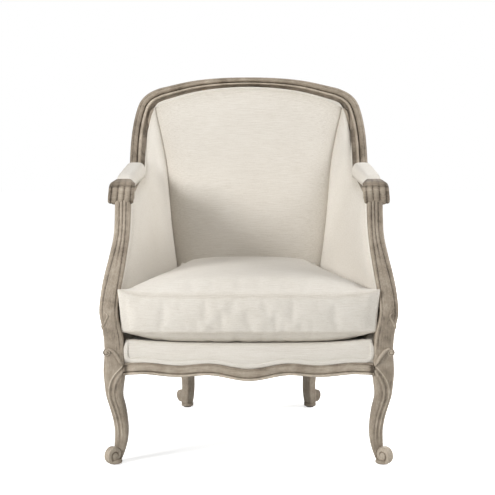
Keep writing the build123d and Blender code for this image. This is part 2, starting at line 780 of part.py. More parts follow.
with BuildPart() as spring_clips:
    for index in range(SPRING_COUNT):
        front, rear = spring_ends(index)
        for end in (front, rear):
            plane = Plane(end, x_dir=rear - front)
            bore_plane = Plane(end, z_dir=rear - front)
            with BuildSketch(plane.offset(-CLIP_HEIGHT / 2)):
                Rectangle(CLIP_LENGTH, CLIP_WIDTH)
            extrude(amount=CLIP_HEIGHT)
            with BuildSketch(bore_plane):
                Circle(WIRE_RADIUS + FIT / 2)
            extrude(amount=CLIP_LENGTH, both=True, mode=Mode.SUBTRACT)
write("spring_clips", spring_clips.part)


# Soft pieces. The inside arm runs from the stump to the seam with the inside back.
def inside_front_arc(out):
    """Inside arm at its front plane: three points from deck to arm, moved outward."""
    return ((318.0 + out, DECK_BASE), (322.0 + out, 440.0), (292.0 + out, 720.0))


def seam_arc(out):
    """Seam between inside back and inside arm: three points from deck to shoulder."""
    return ((190.0 + out, DECK_BASE), (225.0 + out, 610.0), (286.0 + out, 880.0))


BACK_PLANE = raked(BACK_FRONT_Y, BACK_LEVEL, BACK_SLOPE)
BACK_REAR_PLANE = raked(BACK_REAR_Y, BACK_LEVEL, BACK_REAR_SLOPE)
OUTSIDE_PLANE = raked(OUTSIDE_Y, SEAT_FRAME_TOP, OUTSIDE_SLOPE)
SIDE_FRONT_PLANE = Plane.XZ.offset(-FRONT_LEG_Y)
SIDE_MIDDLE_PLANE = Plane.XZ.offset(-ARM_REAR.Y)


def back_face(z):
    """Y of the inside back's crowned face at height z."""
    return BACK_FRONT_Y + BACK_SLOPE * (z - BACK_LEVEL) - BACK_CROWN / cos(atan(BACK_SLOPE))


def on_back(points):
    """Front-view points as points of the inside back's plane."""
    return [(x, up(z, BACK_LEVEL, BACK_SLOPE)) for x, z in points]


def on_outside(points):
    """Front-view points as points of the outside back's plane."""
    return [(x, up(z, SEAT_FRAME_TOP, OUTSIDE_SLOPE)) for x, z in points]


def side_wall(*sections):
    """Wall through sections from front to rear, each a plane with an inner and an outer arc on it."""
    with BuildPart() as wall:
        for plane, inner, outer in sections:
            with BuildSketch(plane):
                with BuildLine():
                    near = ThreePointArc(*inner)
                    far = ThreePointArc(*outer)
                    Line(near @ 0, far @ 0)
                    Line(near @ 1, far @ 1)
                make_face()
        loft(ruled=True)
    return wall.part


def side_view(base, rear_plane, rear_gap, front_inset):
    """Side outline under the arm, wing and crest, as a prism across the right half."""
    stump_line = []
    for share, shift_x, shift_y, width, depth in STUMP_CURVE[:-1]:
        place = stump_place(share, shift_x, shift_y)
        stump_line.append((place.Y + depth / 2 - front_inset, place.Z))
    arm_line = [(arm_point(share).Y, arm_point(share).Z) for share in (0.85, 0.4)]
    wing_line = [(wing_point(share).Y, wing_point(share).Z) for share in (1.0, 0.8, 0.6, 0.4, 0.2, 0.0)]
    rear_top = (wing_line[-1][0] + CUT, wing_line[-1][1])
    rear_base = (rear_top[0], base)
    front_base = (stump_line[0][0], base)
    rising = [point for point in stump_line if point[1] > base + 5]
    with BuildPart() as outline:
        with BuildSketch(Plane.YZ):
            with BuildLine():
                Spline(front_base, *rising)
                Polyline(rising[-1], arm_line[0], arm_line[1], wing_line[0])
                Spline(*wing_line)
                Polyline(wing_line[-1], rear_top, rear_base, front_base)
            make_face()
        extrude(amount=CUT)
        split(bisect_by=rear_plane.offset(rear_gap), keep=Keep.TOP)
    return outline.part


def outside_front_arc(out):
    """Outside arm at the front plane: three points from rail to arm, moved outward."""
    return ((352.0 + out, SEAT_FRAME_TOP + FIT), (363.0 + out, 430.0), (331.0 + out, 700.0))


def outside_middle_arc(out):
    """Outside arm where the arm meets the wing: three points from rail to the arm's outer edge."""
    return ((256.0 + out, SEAT_FRAME_TOP + FIT), (302.0 + out, 480.0), (334.0 + out, 706.0))


def outside_rear_arc(out):
    """Edge between outside arm and outside back: three points from rail to shoulder."""
    return ((213.0 + out, SEAT_FRAME_TOP + FIT), (252.0 + out, 560.0), (318.0 + out, 890.0))


POST_CUT = post_solid(FIT)
FRAME_CUTS = (STUMP_CUT, ARM_CUT, WING_CUT, CREST_CUT, POST_CUT)

with BuildPart() as outside_arm:
    add(
        side_wall(
            (SIDE_FRONT_PLANE, outside_front_arc(-PANEL_THICKNESS), outside_front_arc(0.0)),
            (SIDE_MIDDLE_PLANE, outside_middle_arc(-PANEL_THICKNESS), outside_middle_arc(0.0)),
            (
                OUTSIDE_PLANE,
                on_outside(outside_rear_arc(-PANEL_THICKNESS)),
                on_outside(outside_rear_arc(0.0)),
            ),
        )
    )
    add(side_view(SEAT_FRAME_TOP + FIT, OUTSIDE_PLANE, FIT, 3.0), mode=Mode.INTERSECT)
    for frame_cut in FRAME_CUTS:
        add(frame_cut, mode=Mode.SUBTRACT)
write_pair("outside_arm", outside_arm.part)

with BuildPart() as inside_arm:
    add(
        side_wall(
            (SIDE_FRONT_PLANE, inside_front_arc(0.0), inside_front_arc(INSIDE_ARM_FRONT_THICKNESS)),
            (BACK_PLANE, on_back(seam_arc(0.0)), on_back(seam_arc(INSIDE_ARM_REAR_THICKNESS))),
        )
    )
    add(side_view(DECK_BASE, BACK_PLANE, SOFT_GAP, 3.0), mode=Mode.INTERSECT)
    for frame_cut in FRAME_CUTS:
        add(frame_cut, mode=Mode.SUBTRACT)
    add(
        side_wall(
            (SIDE_FRONT_PLANE, outside_front_arc(-PANEL_THICKNESS - SOFT_GAP), outside_front_arc(CUT)),
            (
                OUTSIDE_PLANE,
                on_outside(outside_rear_arc(-PANEL_THICKNESS - SOFT_GAP)),
                on_outside(outside_rear_arc(CUT)),
            ),
        ),
        mode=Mode.SUBTRACT,
    )
write_pair("inside_arm", inside_arm.part)


def back_outline(edge):
    """Outline of the inside back in its plane, drawn in by edge on all sides."""
    right = on_back([(x - edge, z) for x, z in seam_arc(-SOFT_GAP)])
    base_y = right[0][1] + edge
    top = up(CREST_HEIGHT, BACK_LEVEL, BACK_SLOPE) - edge
    shoulder = (right[2][0], right[2][1] - edge * 0.6)
    side = ((right[0][0], base_y), (right[1][0], right[1][1]), shoulder)
    mirrored = [(-x, y) for x, y in side]
    ThreePointArc(*side)
    ThreePointArc(side[2], (0, top), mirrored[2])
    ThreePointArc(*reversed(mirrored))
    Line(mirrored[0], side[0])


with BuildPart() as inside_back:
    with BuildSketch(BACK_PLANE):
        with BuildLine():
            back_outline(-BACK_TUCK)
        make_face()
    extrude(amount=-BACK_REAR_Y + BACK_FRONT_Y - 40)
    split(bisect_by=BACK_REAR_PLANE, keep=Keep.TOP)
    split(bisect_by=Plane.XY.offset(DECK_BASE), keep=Keep.TOP)
    with BuildSketch(BACK_PLANE):
        with BuildLine():
            back_outline(0.0)
        make_face()
    with BuildSketch(BACK_PLANE.offset(BACK_CROWN * 0.75)):
        with BuildLine():
            back_outline(BACK_CROWN_EDGE * 0.35)
        make_face()
    with BuildSketch(BACK_PLANE.offset(BACK_CROWN)):
        with BuildLine():
            back_outline(BACK_CROWN_EDGE)
        make_face()
    loft()
    add(CREST_CUT, mode=Mode.SUBTRACT)
    for frame_cut in (POST_CUT, WING_CUT):
        add(frame_cut, mode=Mode.SUBTRACT)
        mirrored_cut = mirror(frame_cut, about=Plane.YZ, mode=Mode.PRIVATE)
        add(mirrored_cut, mode=Mode.SUBTRACT)
write("inside_back", inside_back.part)

with BuildPart() as outside_back:
    with BuildSketch(OUTSIDE_PLANE):
        with BuildLine():
            edge_arc = on_outside(outside_rear_arc(0.0))
            foot_y = up(RAIL_BOTTOM + MOULDING_HEIGHT, SEAT_FRAME_TOP, OUTSIDE_SLOPE)
            crown_y = up(CREST_HEIGHT, SEAT_FRAME_TOP, OUTSIDE_SLOPE)
            mirrored_arc = [(-x, y) for x, y in edge_arc]
            ThreePointArc(*edge_arc)
            ThreePointArc(edge_arc[2], (0, crown_y), mirrored_arc[2])
            ThreePointArc(*reversed(mirrored_arc))
            Polyline(mirrored_arc[0], (-edge_arc[0][0], foot_y), (edge_arc[0][0], foot_y), edge_arc[0])
        make_face()
    extrude(amount=-PANEL_THICKNESS)
    add(CREST_CUT, mode=Mode.SUBTRACT)
    add(WING_CUT, mode=Mode.SUBTRACT)
    mirrored_wing = mirror(WING_CUT, about=Plane.YZ, mode=Mode.PRIVATE)
    add(mirrored_wing, mode=Mode.SUBTRACT)
write("outside_back", outside_back.part)

with BuildPart() as back_webbing:
    face_y = TACK_RAIL_Y - TACK_RAIL_THICKNESS / 2 - FIT
    slope = (CREST_Y - 6.0 - face_y) / (CREST_HEIGHT - TACK_RAIL_Z)
    strap_plane = raked(face_y, TACK_RAIL_Z, slope)
    for strap in (-1, 0, 1):
        with BuildSketch(strap_plane):
            low = -TACK_RAIL_HEIGHT / 2
            high = up(CREST_HEIGHT, TACK_RAIL_Z, slope)
            left = strap * WEBBING_PITCH - WEBBING_WIDTH / 2
            right = left + WEBBING_WIDTH
            with BuildLine():
                Polyline((left, low), (right, low), (right, high), (left, high), close=True)
            make_face()
        extrude(amount=WEBBING_THICKNESS)
    add(CREST_CUT, mode=Mode.SUBTRACT)
    add(tack_rail_solid(FIT), mode=Mode.SUBTRACT)
    add(inside_back.part, mode=Mode.SUBTRACT)
write("back_webbing", back_webbing.part)


# Arm-top pads ride on the arm rails, domed between straight edges
with BuildPart() as arm_pad:
    for share, width, height in (
        (0.02, 0.78, 0.62),
        (0.12, 0.95, 1.0),
        (0.5, 1.05, 1.0),
        (0.82, 1.05, 0.95),
        (0.93, 0.95, 0.55),
    ):
        plane = rail_plane(arm_point(share), ARM_ALONG)
        half = ARM_PAD_WIDTH * width / 2
        base = ARM_THICKNESS / 2 + FIT
        edge = base + ARM_PAD_EDGE * height
        top = base + ARM_PAD_HEIGHT * height
        with BuildSketch(plane):
            with BuildLine():
                Line((half, base), (half, edge))
                ThreePointArc((half, edge), (0, top), (-half, edge))
                Line((-half, edge), (-half, base))
                Line((-half, base), (half, base))
            make_face()
    loft()
    add(ARM_CUT, mode=Mode.SUBTRACT)
write_pair("arm_pad", arm_pad.part)


def seat_outline(front_y, front_x, rear_y, rear_x):
    """Four-sided seat plan, wide at the front."""
    return ((front_x, front_y), (rear_x, rear_y), (-rear_x, rear_y), (-front_x, front_y))


DECK_FRONT_Y = FRONT_RAIL_FACE + SOFT_GAP
DECK_REAR_Y = back_face(DECK_TOP) - SOFT_GAP
DECK_REAR_X = seam_arc(0.0)[0][0] - 1.0

with BuildPart() as hessian:
    corners = seat_outline(FRONT_BLOCK_BACK - 20, FRONT_BLOCK_IN - 6, DECK_REAR_Y - 4, DECK_REAR_X - 6)
    add(prism(corners, Plane.XY.offset(HESSIAN_BASE), HESSIAN_THICKNESS))
write("seat_hessian", hessian.part)

with BuildPart() as seat_deck:
    corners = seat_outline(DECK_FRONT_Y, FRONT_BLOCK_IN - 1.5, DECK_REAR_Y, DECK_REAR_X)
    add(prism(corners, Plane.XY.offset(DECK_BASE), DECK_TOP - DECK_BASE))
    for frame_cut in (STUMP_CUT, inside_arm.part):
        add(frame_cut, mode=Mode.SUBTRACT)
        mirrored_cut = mirror(frame_cut, about=Plane.YZ, mode=Mode.PRIVATE)
        add(mirrored_cut, mode=Mode.SUBTRACT)
write("seat_deck", seat_deck.part)

with BuildPart() as front_border:
    border_top = [(-FRONT_BLOCK_IN, DECK_TOP), (FRONT_BLOCK_IN, DECK_TOP)]
    add(band(MOULDING_HEIGHT + FIT, border_top, FRONT_RAIL_FACE - 40, FRONT_RAIL_FACE - FIT, BORDER_RECESS))
    top_front = front_border.edges().group_by(Axis.Z)[-1].sort_by(Axis.Y)[0]
    fillet(top_front, BORDER_ROUND)
    add(STUMP_CUT, mode=Mode.SUBTRACT)
    mirrored_stump = mirror(STUMP_CUT, about=Plane.YZ, mode=Mode.PRIVATE)
    add(mirrored_stump, mode=Mode.SUBTRACT)
write("front_border", front_border.part)

with BuildPart() as dust_cover:
    front_y = FRONT_RAIL_BACK + FIT
    rear_y = REAR_BLOCK_FRONT - FIT
    corners = seat_outline(front_y, side_x(front_y), rear_y, side_x(rear_y))
    add(prism(corners, Plane.XY.offset(RAIL_BOTTOM - FIT - DUST_THICKNESS), DUST_THICKNESS))
    add(front_leg.part, mode=Mode.SUBTRACT)
write("dust_cover", dust_cover.part)


# Loose cushion: flat belly, boxed edge drawn in between its corners, crowned top
def cushion_outline(z, edge, bow):
    """Plan of the cushion at height z, drawn in by edge, its sides bowed in."""
    rear_y = back_face(z) - CUSHION_BACK_GAP - edge
    front_y = CUSHION_FRONT_Y + edge
    front_x = CUSHION_FRONT_X - edge
    rear_x = CUSHION_REAR_X - edge
    middle = ((front_x + rear_x) / 2 - bow, (front_y + rear_y) / 2)
    ThreePointArc((-front_x, front_y), (0, front_y - 6), (front_x, front_y))
    ThreePointArc((front_x, front_y), middle, (rear_x, rear_y))
    Line((rear_x, rear_y), (-rear_x, rear_y))
    ThreePointArc((-rear_x, rear_y), (-middle[0], middle[1]), (-front_x, front_y))


def cushion_sections():
    """Height, draw-in and side bow of each section: belly, boxing, then a round crown."""
    sections = []
    belly = CUSHION_LOWER_SEAM - CUSHION_BASE
    for turn in (90.0, 65.0, 45.0, 25.0, 0.0):
        edge = BELLY_EDGE * (1 - cos(radians(turn)))
        sections.append((CUSHION_LOWER_SEAM - belly * sin(radians(turn)), edge, SIDE_DRAW))
    middle = (CUSHION_LOWER_SEAM + CUSHION_UPPER_SEAM) / 2
    sections.append((middle, -BOXING_SWELL, SIDE_DRAW))
    crown = CUSHION_CROWN_TOP - CUSHION_UPPER_SEAM
    for turn in (0.0, 15.0, 30.0, 45.0, 60.0, 75.0, 90.0):
        edge = CROWN_EDGE * (1 - cos(radians(turn)))
        sections.append((CUSHION_UPPER_SEAM + crown * sin(radians(turn)), edge, SIDE_DRAW))
    return sections


ZIP_Z = (CUSHION_LOWER_SEAM + CUSHION_UPPER_SEAM) / 2
ZIP_PLANE = raked(back_face(ZIP_Z) - CUSHION_BACK_GAP, ZIP_Z, BACK_SLOPE)

with BuildPart() as seat_cushion:
    for z, edge, bow in cushion_sections():
        with BuildSketch(Plane.XY.offset(z)):
            with BuildLine():
                cushion_outline(z, edge, bow)
            make_face()
    loft(ruled=True)
    with BuildSketch(ZIP_PLANE.offset(-10)):
        Rectangle(ZIP_LENGTH + 2 * SLIDER_LENGTH, ZIP_POCKET_HEIGHT)
    extrude(amount=10 + ZIP_POCKET_DEPTH, mode=Mode.SUBTRACT)
write("seat_cushion", seat_cushion.part)

TAPE_PLANE = ZIP_PLANE.offset(ZIP_POCKET_DEPTH - ZIP_TAPE_THICKNESS - FIT / 2)
with BuildPart() as zip_tape:
    with BuildSketch(TAPE_PLANE):
        Rectangle(ZIP_LENGTH + 2 * SLIDER_LENGTH - 2, ZIP_POCKET_HEIGHT - 2)
    extrude(amount=ZIP_TAPE_THICKNESS)
    with BuildSketch(TAPE_PLANE):
        Rectangle(ZIP_LENGTH + SLIDER_LENGTH, ZIP_CHAIN_WIDTH)
    extrude(amount=-ZIP_CHAIN_HEIGHT)
write("zip_tape", zip_tape.part)

with BuildPart() as zip_slider:
    with BuildSketch(TAPE_PLANE.offset(-ZIP_RUN_GAP)):
        with Locations((ZIP_LENGTH / 2, 0)):
            Rectangle(SLIDER_LENGTH, SLIDER_HEIGHT)
    extrude(amount=-SLIDER_THICKNESS)
    fillet(zip_slider.edges().filter_by(Plane.XZ, reverse=True).group_by(SortBy.LENGTH)[0], 0.8)
    with BuildSketch(TAPE_PLANE):
        Rectangle(ZIP_LENGTH + 4 * SLIDER_LENGTH, ZIP_CHAIN_WIDTH + 2 * ZIP_RUN_GAP)
    extrude(amount=-ZIP_CHAIN_HEIGHT - ZIP_RUN_GAP, mode=Mode.SUBTRACT)
write("zip_slider", zip_slider.part)
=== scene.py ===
import json

import bpy
import numpy as np
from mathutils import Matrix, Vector


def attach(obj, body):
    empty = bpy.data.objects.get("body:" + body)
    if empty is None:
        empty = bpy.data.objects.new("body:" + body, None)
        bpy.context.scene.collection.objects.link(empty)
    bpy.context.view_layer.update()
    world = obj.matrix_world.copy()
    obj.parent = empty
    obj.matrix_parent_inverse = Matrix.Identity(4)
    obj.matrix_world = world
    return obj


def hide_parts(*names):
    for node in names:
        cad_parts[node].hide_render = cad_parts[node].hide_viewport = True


bl_info = {
    "name": "Bergere Armchair",
    "version": (1, 0, 0),
    "blender": (4, 5, 0),
    "location": "View3D > Sidebar > Bergere",
    "description": "Dresses a carved, upholstered armchair on its packed frame",
    "category": "Object",
}

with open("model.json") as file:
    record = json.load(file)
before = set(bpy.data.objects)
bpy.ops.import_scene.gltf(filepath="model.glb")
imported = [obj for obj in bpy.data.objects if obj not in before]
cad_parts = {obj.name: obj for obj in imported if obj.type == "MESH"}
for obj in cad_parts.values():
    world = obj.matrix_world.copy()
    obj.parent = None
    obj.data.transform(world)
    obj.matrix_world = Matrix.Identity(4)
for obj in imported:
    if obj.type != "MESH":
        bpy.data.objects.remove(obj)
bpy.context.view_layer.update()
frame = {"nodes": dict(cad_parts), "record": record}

# Places in metres: floor at Z 0, the chair faces -Y. They repeat the frame's own driving sizes.
LEG_X, LEG_Y = 0.337, -0.337
CREST_MIDDLE = np.array([0.0, 0.3415, 0.951])
CREST_RAKE = np.arctan(0.2)
CREST_RADIUS, SHOULDER_RADIUS = 1.13, 0.075
CREST_ARC_TURN = np.arcsin(0.246 / CREST_RADIUS)
SHOULDER_TURN = np.radians(72.0)
CREST_WIDTH, WING_WIDTH = 0.029, 0.043
EASE, EASE_AT = 0.0068, 0.80  # how far the shoulder is eased inwards, and at what share of the crest
CREST_DEPTH, ARM_DEPTH = 0.038, 0.036
ARM_REAR = np.array([0.315, 0.100, 0.688])
ARM_FRONT = np.array([0.322, -0.215, 0.680])
WING_DROP, WING_REACH = 0.095, 0.115
SCROLL_Y, SCROLL_RADIUS = -0.225, 0.031
HANDHOLD_X = ARM_FRONT[0] + 0.002
REEDS_START = 158  # degrees about the handhold, from its rear over the top, where the reeds begin
BACK_FRONT_Y, BACK_LEVEL, BACK_SLOPE = 0.193, 0.430, 0.25
DECK_TOP, DECK_DIP = 0.312, 0.006
DECK_FRONT_X, DECK_FRONT_Y, DECK_REAR_X, DECK_REAR_Y = 0.3105, -0.337, 0.188, 0.144
WEBBING_FOOT, WEBBING_TOP = (0.2545, 0.320), (0.3325, 0.932)
WEBBING_WIDTH, WEBBING_PITCH = 0.050, 0.110
ZIP_LEVEL, ZIP_FACE_Y, ZIP_HALF = 0.3815, 0.1522, 0.180
RIGHT, REAR, UP = np.eye(3)

# (height, shift along the diagonal, width) down a front leg
LEG_CURVE = (
    (0.296, 0.0000, 0.0500),
    (0.265, 0.0000, 0.0540),
    (0.237, 0.0005, 0.0560),
    (0.206, 0.0015, 0.0495),
    (0.175, 0.0010, 0.0431),
    (0.143, -0.0060, 0.0406),
    (0.111, -0.0118, 0.0372),
    (0.079, -0.0145, 0.0348),
    (0.053, -0.0128, 0.0328),
    (0.030, -0.0090, 0.0285),
    (0.009, -0.0030, 0.0240),
)
# (height, shift in X, shift in Y, width, depth) up an arm stump
STUMP_CURVE = (
    (0.284, 0.0000, 0.000, 0.0500, 0.0500),
    (0.322, 0.0020, 0.002, 0.0500, 0.0500),
    (0.351, 0.0075, 0.004, 0.0480, 0.0490),
    (0.380, 0.0135, 0.007, 0.0480, 0.0490),
    (0.430, 0.0110, 0.019, 0.0480, 0.0470),
    (0.473, 0.0040, 0.037, 0.0480, 0.0460),
    (0.518, -0.0045, 0.059, 0.0440, 0.0430),
    (0.567, -0.0125, 0.082, 0.0400, 0.0400),
    (0.635, -0.0150, 0.104, 0.0400, 0.0420),
    (0.664, -0.0150, 0.110, 0.0400, 0.0440),
)
# (height, turn in thousands of degrees) of the arris that sweeps down a front leg
LEG_ARRIS = (
    (0.000, -0.066),
    (0.060, -0.066),
    (0.120, -0.063),
    (0.170, -0.058),
    (0.200, -0.064),
    (0.223, -0.082),
    (0.240, -0.106),
    (0.256, -0.132),
    (0.300, -0.150),
)
# Half width of the inside back's seam by height
SEAM = (
    (0.300, 0.190),
    (0.430, 0.205),
    (0.486, 0.2125),
    (0.553, 0.221),
    (0.634, 0.2285),
    (0.728, 0.241),
    (0.800, 0.2585),
    (0.866, 0.2790),
)
# Lower edge of the front rail: distance from the middle, height
RAIL_WAVE = (
    (-0.312, 0.2295),
    (-0.262, 0.231),
    (-0.177, 0.2236),
    (-0.097, 0.2286),
    (0.0, 0.215),
    (0.097, 0.2286),
    (0.177, 0.2236),
    (0.262, 0.231),
    (0.312, 0.2295),
)
# Face of the front rail: distance from the middle, Y
RAIL_BOW = (
    (-0.312, -0.358),
    (-0.210, -0.353),
    (-0.110, -0.356),
    (0.0, -0.362),
    (0.110, -0.356),
    (0.210, -0.353),
    (0.312, -0.358),
)
RAIL_BAND = 0.0295
CREST_PAINTED_LIGHT = 0.12  # painted light: how much paler the crest is painted than the arms
# Middle of the trim down the front border's left end: distance from the middle, height
BORDER_END = (
    (-0.3005, 0.3165),
    (-0.3050, 0.3105),
    (-0.3078, 0.3000),
    (-0.3080, 0.2850),
    (-0.3060, 0.2745),
    (-0.2990, 0.2675),
)
# Rear edge of the right outside arm, up the post: X, Y, Z
OUTSIDE_REAR = (
    (0.213, 0.2855, 0.258),
    (0.226, 0.2955, 0.400),
    (0.252, 0.3135, 0.560),
    (0.282, 0.3315, 0.730),
    (0.303, 0.3405, 0.852),
)
# Ribbon over the knee and hook on the stump, from the leg's middle line: X, Y, and Z from the floor
KNEE_RIBBON = (
    (0.0155, -0.0262, 0.2972),
    (0.0055, -0.0272, 0.2930),
    (-0.0055, -0.0276, 0.2805),
    (-0.0140, -0.0272, 0.2670),
    (-0.0215, -0.0255, 0.2535),
)
STUMP_HOOK = (
    (0.0235, -0.0152, 0.3880),
    (0.0160, -0.0170, 0.3800),
    (0.0200, -0.0180, 0.3690),
    (0.0258, -0.0178, 0.3575),
    (0.0287, -0.0150, 0.3500),
    (0.0270, -0.0150, 0.3435),
)
TOE_MIDDLE = np.array([LEG_X + 0.0042, LEG_Y - 0.0168, 0.0238])
VOLUTE_MIDDLE = np.array([LEG_X + 0.0178, LEG_Y - 0.0205, 0.2883])
# Lamps: name, place, watts, size
LAMPS = (
    ("key", (-2.6, -2.0, 2.0), 94.0, 1.0),
    ("fill", (2.6, -0.3, 2.1), 48.0, 1.4),
    ("front", (-1.5, -3.6, 1.7), 29.0, 1.0),
    ("side", (2.8, 0.2, 1.9), 25.0, 1.0),
    ("top", (0.0, -0.4, 3.2), 13.0, 2.0),
    ("rear", (0.8, 3.2, 1.8), 40.0, 1.8),
)
LAMP_AIM = Vector((0, 0, 0.45))
CAMERA_PLACE, CAMERA_DROP = (-0.0034, -4.0165, 0.992), 6.86
FOCAL_PIXELS, PHOTO_PIXELS, SENSOR_MM = 1486.0, 495.0, 36.0
WHITE = (1.0, 1.0, 1.0, 1.0)


MATERIALS = {}


# Colour and node helpers
def linear(hex_colour):
    """Linear RGB of an sRGB hex colour."""
    values = np.array([int(hex_colour[i : i + 2], 16) for i in (1, 3, 5)]) / 255
    return tuple(np.where(values <= 0.04045, values / 12.92, ((values + 0.055) / 1.055) ** 2.4))


def add_node(tree, kind, links=(), stops=(), **settings):
    """Adds a node, sets its properties or, by socket name, its inputs, and joins (source, input) pairs.

    A source is another node's output or a number. Stops are (position, linear colour) of a colour ramp.
    """
    node = tree.nodes.new(kind)
    for key, value in settings.items():
        if key in node.inputs:
            node.inputs[key].default_value = value
        else:
            setattr(node, key, value)
    for source, socket in links:
        if isinstance(source, bpy.types.NodeSocket):
            tree.links.new(source, node.inputs[socket])
        else:
            node.inputs[socket].default_value = source
    if stops:
        elements = node.color_ramp.elements
        while len(elements) < len(stops):
            elements.new(0.5)
        for element, (position, colour) in zip(elements, stops):
            element.position = position
            element.color = (*colour, 1.0)
    return node


def new_material(name):
    """Empty node material with a Principled shader and its output, and the Object coordinates."""
    material = bpy.data.materials.new(name)
    material.use_nodes = True
    tree = material.node_tree
    tree.nodes.clear()
    shader = add_node(tree, "ShaderNodeBsdfPrincipled")
    add_node(tree, "ShaderNodeOutputMaterial", [(shader.outputs["BSDF"], "Surface")])
    place = add_node(tree, "ShaderNodeTexCoord").outputs["Object"]
    return material, tree, shader, place


GRAIN_MM = 2.2      # width of a wood grain streak
SLUB_MM = 1.5       # thickness of a slub in the linen, drawn coarse enough to show
THREAD_MM = 0.9     # thread spacing of the linen, drawn coarser than the real 0.5 mm
SAWN_MM = 3.0       # width of a grain streak in sawn timber
# Cells of the uneven patterns in a metre
BLOTCHES, SPECKS, LINEN_TONES, SCUFFS = 22.0, 260.0, 6.0, 180.0


def stretched(axis, fine_mm, ratio):
    """Mapping scale for a pattern that is fine across an axis and ratio times longer along it."""
    scale = np.full(3, 1000.0 / fine_mm)
    scale["XYZ".index(axis)] /= ratio
    return tuple(scale)


def weathered_wood(name, axis, looks):
    """Limed, worn hardwood: grey-brown stain and open grain; the relief makes it dark in the carving, with
    stain and painted shade, and pale on the ridges, with wear and painted highlight.
    """
    material, tree, shader, place = new_material(name)
    relief = add_node(tree, "ShaderNodeAttribute", attribute_name="relief").outputs["Fac"]
    along = add_node(tree, "ShaderNodeMapping", [(place, "Vector")], Scale=stretched(axis, GRAIN_MM, 14.0))
    grain = add_node(
        tree, "ShaderNodeTexNoise", [(along.outputs["Vector"], "Vector")], Scale=1.0, Detail=5.0, Roughness=0.65
    )
    blotch = add_node(
        tree, "ShaderNodeTexNoise", [(place, "Vector")], Scale=BLOTCHES, Detail=4.0, Roughness=0.6
    )
    speck = add_node(tree, "ShaderNodeTexNoise", [(place, "Vector")], Scale=SPECKS, Detail=3.0, Roughness=0.7)
    level = blotch.outputs["Fac"]
    for source, share in ((grain.outputs["Fac"], 0.75), (relief, 0.34), (speck.outputs["Fac"], 0.22)):
        level = add_node(
            tree, "ShaderNodeMath", [(source, 0), (share, 1), (level, 2)], operation="MULTIPLY_ADD"
        ).outputs[0]
    shade = add_node(tree, "ShaderNodeMapRange", [(level, "Value"), (0.52, "From Min"), (1.42, "From Max")])
    stops = (
        (0.0, looks.wood_dark),
        (0.38, looks.wood_mid),
        (0.72, looks.wood_light),
        (1.0, looks.wood_worn_and_highlit),
    )
    colour = add_node(tree, "ShaderNodeValToRGB", [(shade.outputs["Result"], "Fac")], stops)
    tree.links.new(colour.outputs["Color"], shader.inputs["Base Color"])
    shader.inputs["Roughness"].default_value = 0.62
    shader.inputs["Specular IOR Level"].default_value = 0.35
    bump = add_node(tree, "ShaderNodeBump", [(level, "Height")], Strength=0.35, Distance=0.0012)
    tree.links.new(bump.outputs["Normal"], shader.inputs["Normal"])
    return material


def plain_wood(name):
    """Sawn, unfinished frame timber: warm and matt, with long grain."""
    material, tree, shader, place = new_material(name)
    along = add_node(tree, "ShaderNodeMapping", [(place, "Vector")], Scale=stretched("X", SAWN_MM, 18.0))
    grain = add_node(
        tree, "ShaderNodeTexNoise", [(along.outputs["Vector"], "Vector")], Scale=1.0, Detail=4.0
    )
    stops = (0.3, linear("#9c7a4e")), (0.7, linear("#c6a676"))
    colour = add_node(tree, "ShaderNodeValToRGB", [(grain.outputs["Fac"], "Fac")], stops)
    tree.links.new(colour.outputs["Color"], shader.inputs["Base Color"])
    shader.inputs["Roughness"].default_value = 0.75
    return material


def linen(name, axis, looks):
    """Slubbed natural linen: off-white, matt, thick threads running along one axis, soft sheen."""
    material, tree, shader, place = new_material(name)
    painted_shade_and_seams = add_node(tree, "ShaderNodeAttribute", attribute_name="relief").outputs["Fac"]
    yarns = []
    for thickness, ratio, detail, roughness in ((SLUB_MM, 26.0, 3.0, 0.55), (THREAD_MM, 3.0, 2.0, 0.6)):
        along = add_node(
            tree, "ShaderNodeMapping", [(place, "Vector")], Scale=stretched(axis, thickness, ratio)
        )
        yarn = add_node(
            tree,
            "ShaderNodeTexNoise",
            [(along.outputs["Vector"], "Vector")],
            Scale=1.0,
            Detail=detail,
            Roughness=roughness,
        )
        yarns.append(yarn.outputs["Fac"])
    tone = add_node(tree, "ShaderNodeTexNoise", [(place, "Vector")], Scale=LINEN_TONES, Detail=3.0)
    weave = add_node(tree, "ShaderNodeMath", [(yarns[0], 0), (yarns[1], 1)], operation="ADD").outputs[0]
    level = weave
    # The relief paints shade where padding rolls in at its edges, along the trims' edges and under the arm
    # pads, paints the inside back a little darker, and darkens the cushion's seams
    for source, share in ((tone.outputs["Fac"], 0.35), (painted_shade_and_seams, 0.5)):
        level = add_node(
            tree, "ShaderNodeMath", [(source, 0), (share, 1), (level, 2)], operation="MULTIPLY_ADD"
        ).outputs[0]
    shade = add_node(tree, "ShaderNodeMapRange", [(level, "Value"), (0.55, "From Min"), (1.75, "From Max")])
    stops = (0.0, looks.linen_shade), (0.45, looks.linen_mid), (1.0, looks.linen_light)
    colour = add_node(tree, "ShaderNodeValToRGB", [(shade.outputs["Result"], "Fac")], stops)
    tree.links.new(colour.outputs["Color"], shader.inputs["Base Color"])
    shader.inputs["Roughness"].default_value = 0.92
    shader.inputs["Specular IOR Level"].default_value = 0.2
    shader.inputs["Sheen Weight"].default_value = 0.12
    shader.inputs["Sheen Roughness"].default_value = 0.5
    bump = add_node(tree, "ShaderNodeBump", [(weave, "Height")], Strength=0.30, Distance=0.0008)
    tree.links.new(bump.outputs["Normal"], shader.inputs["Normal"])
    return material


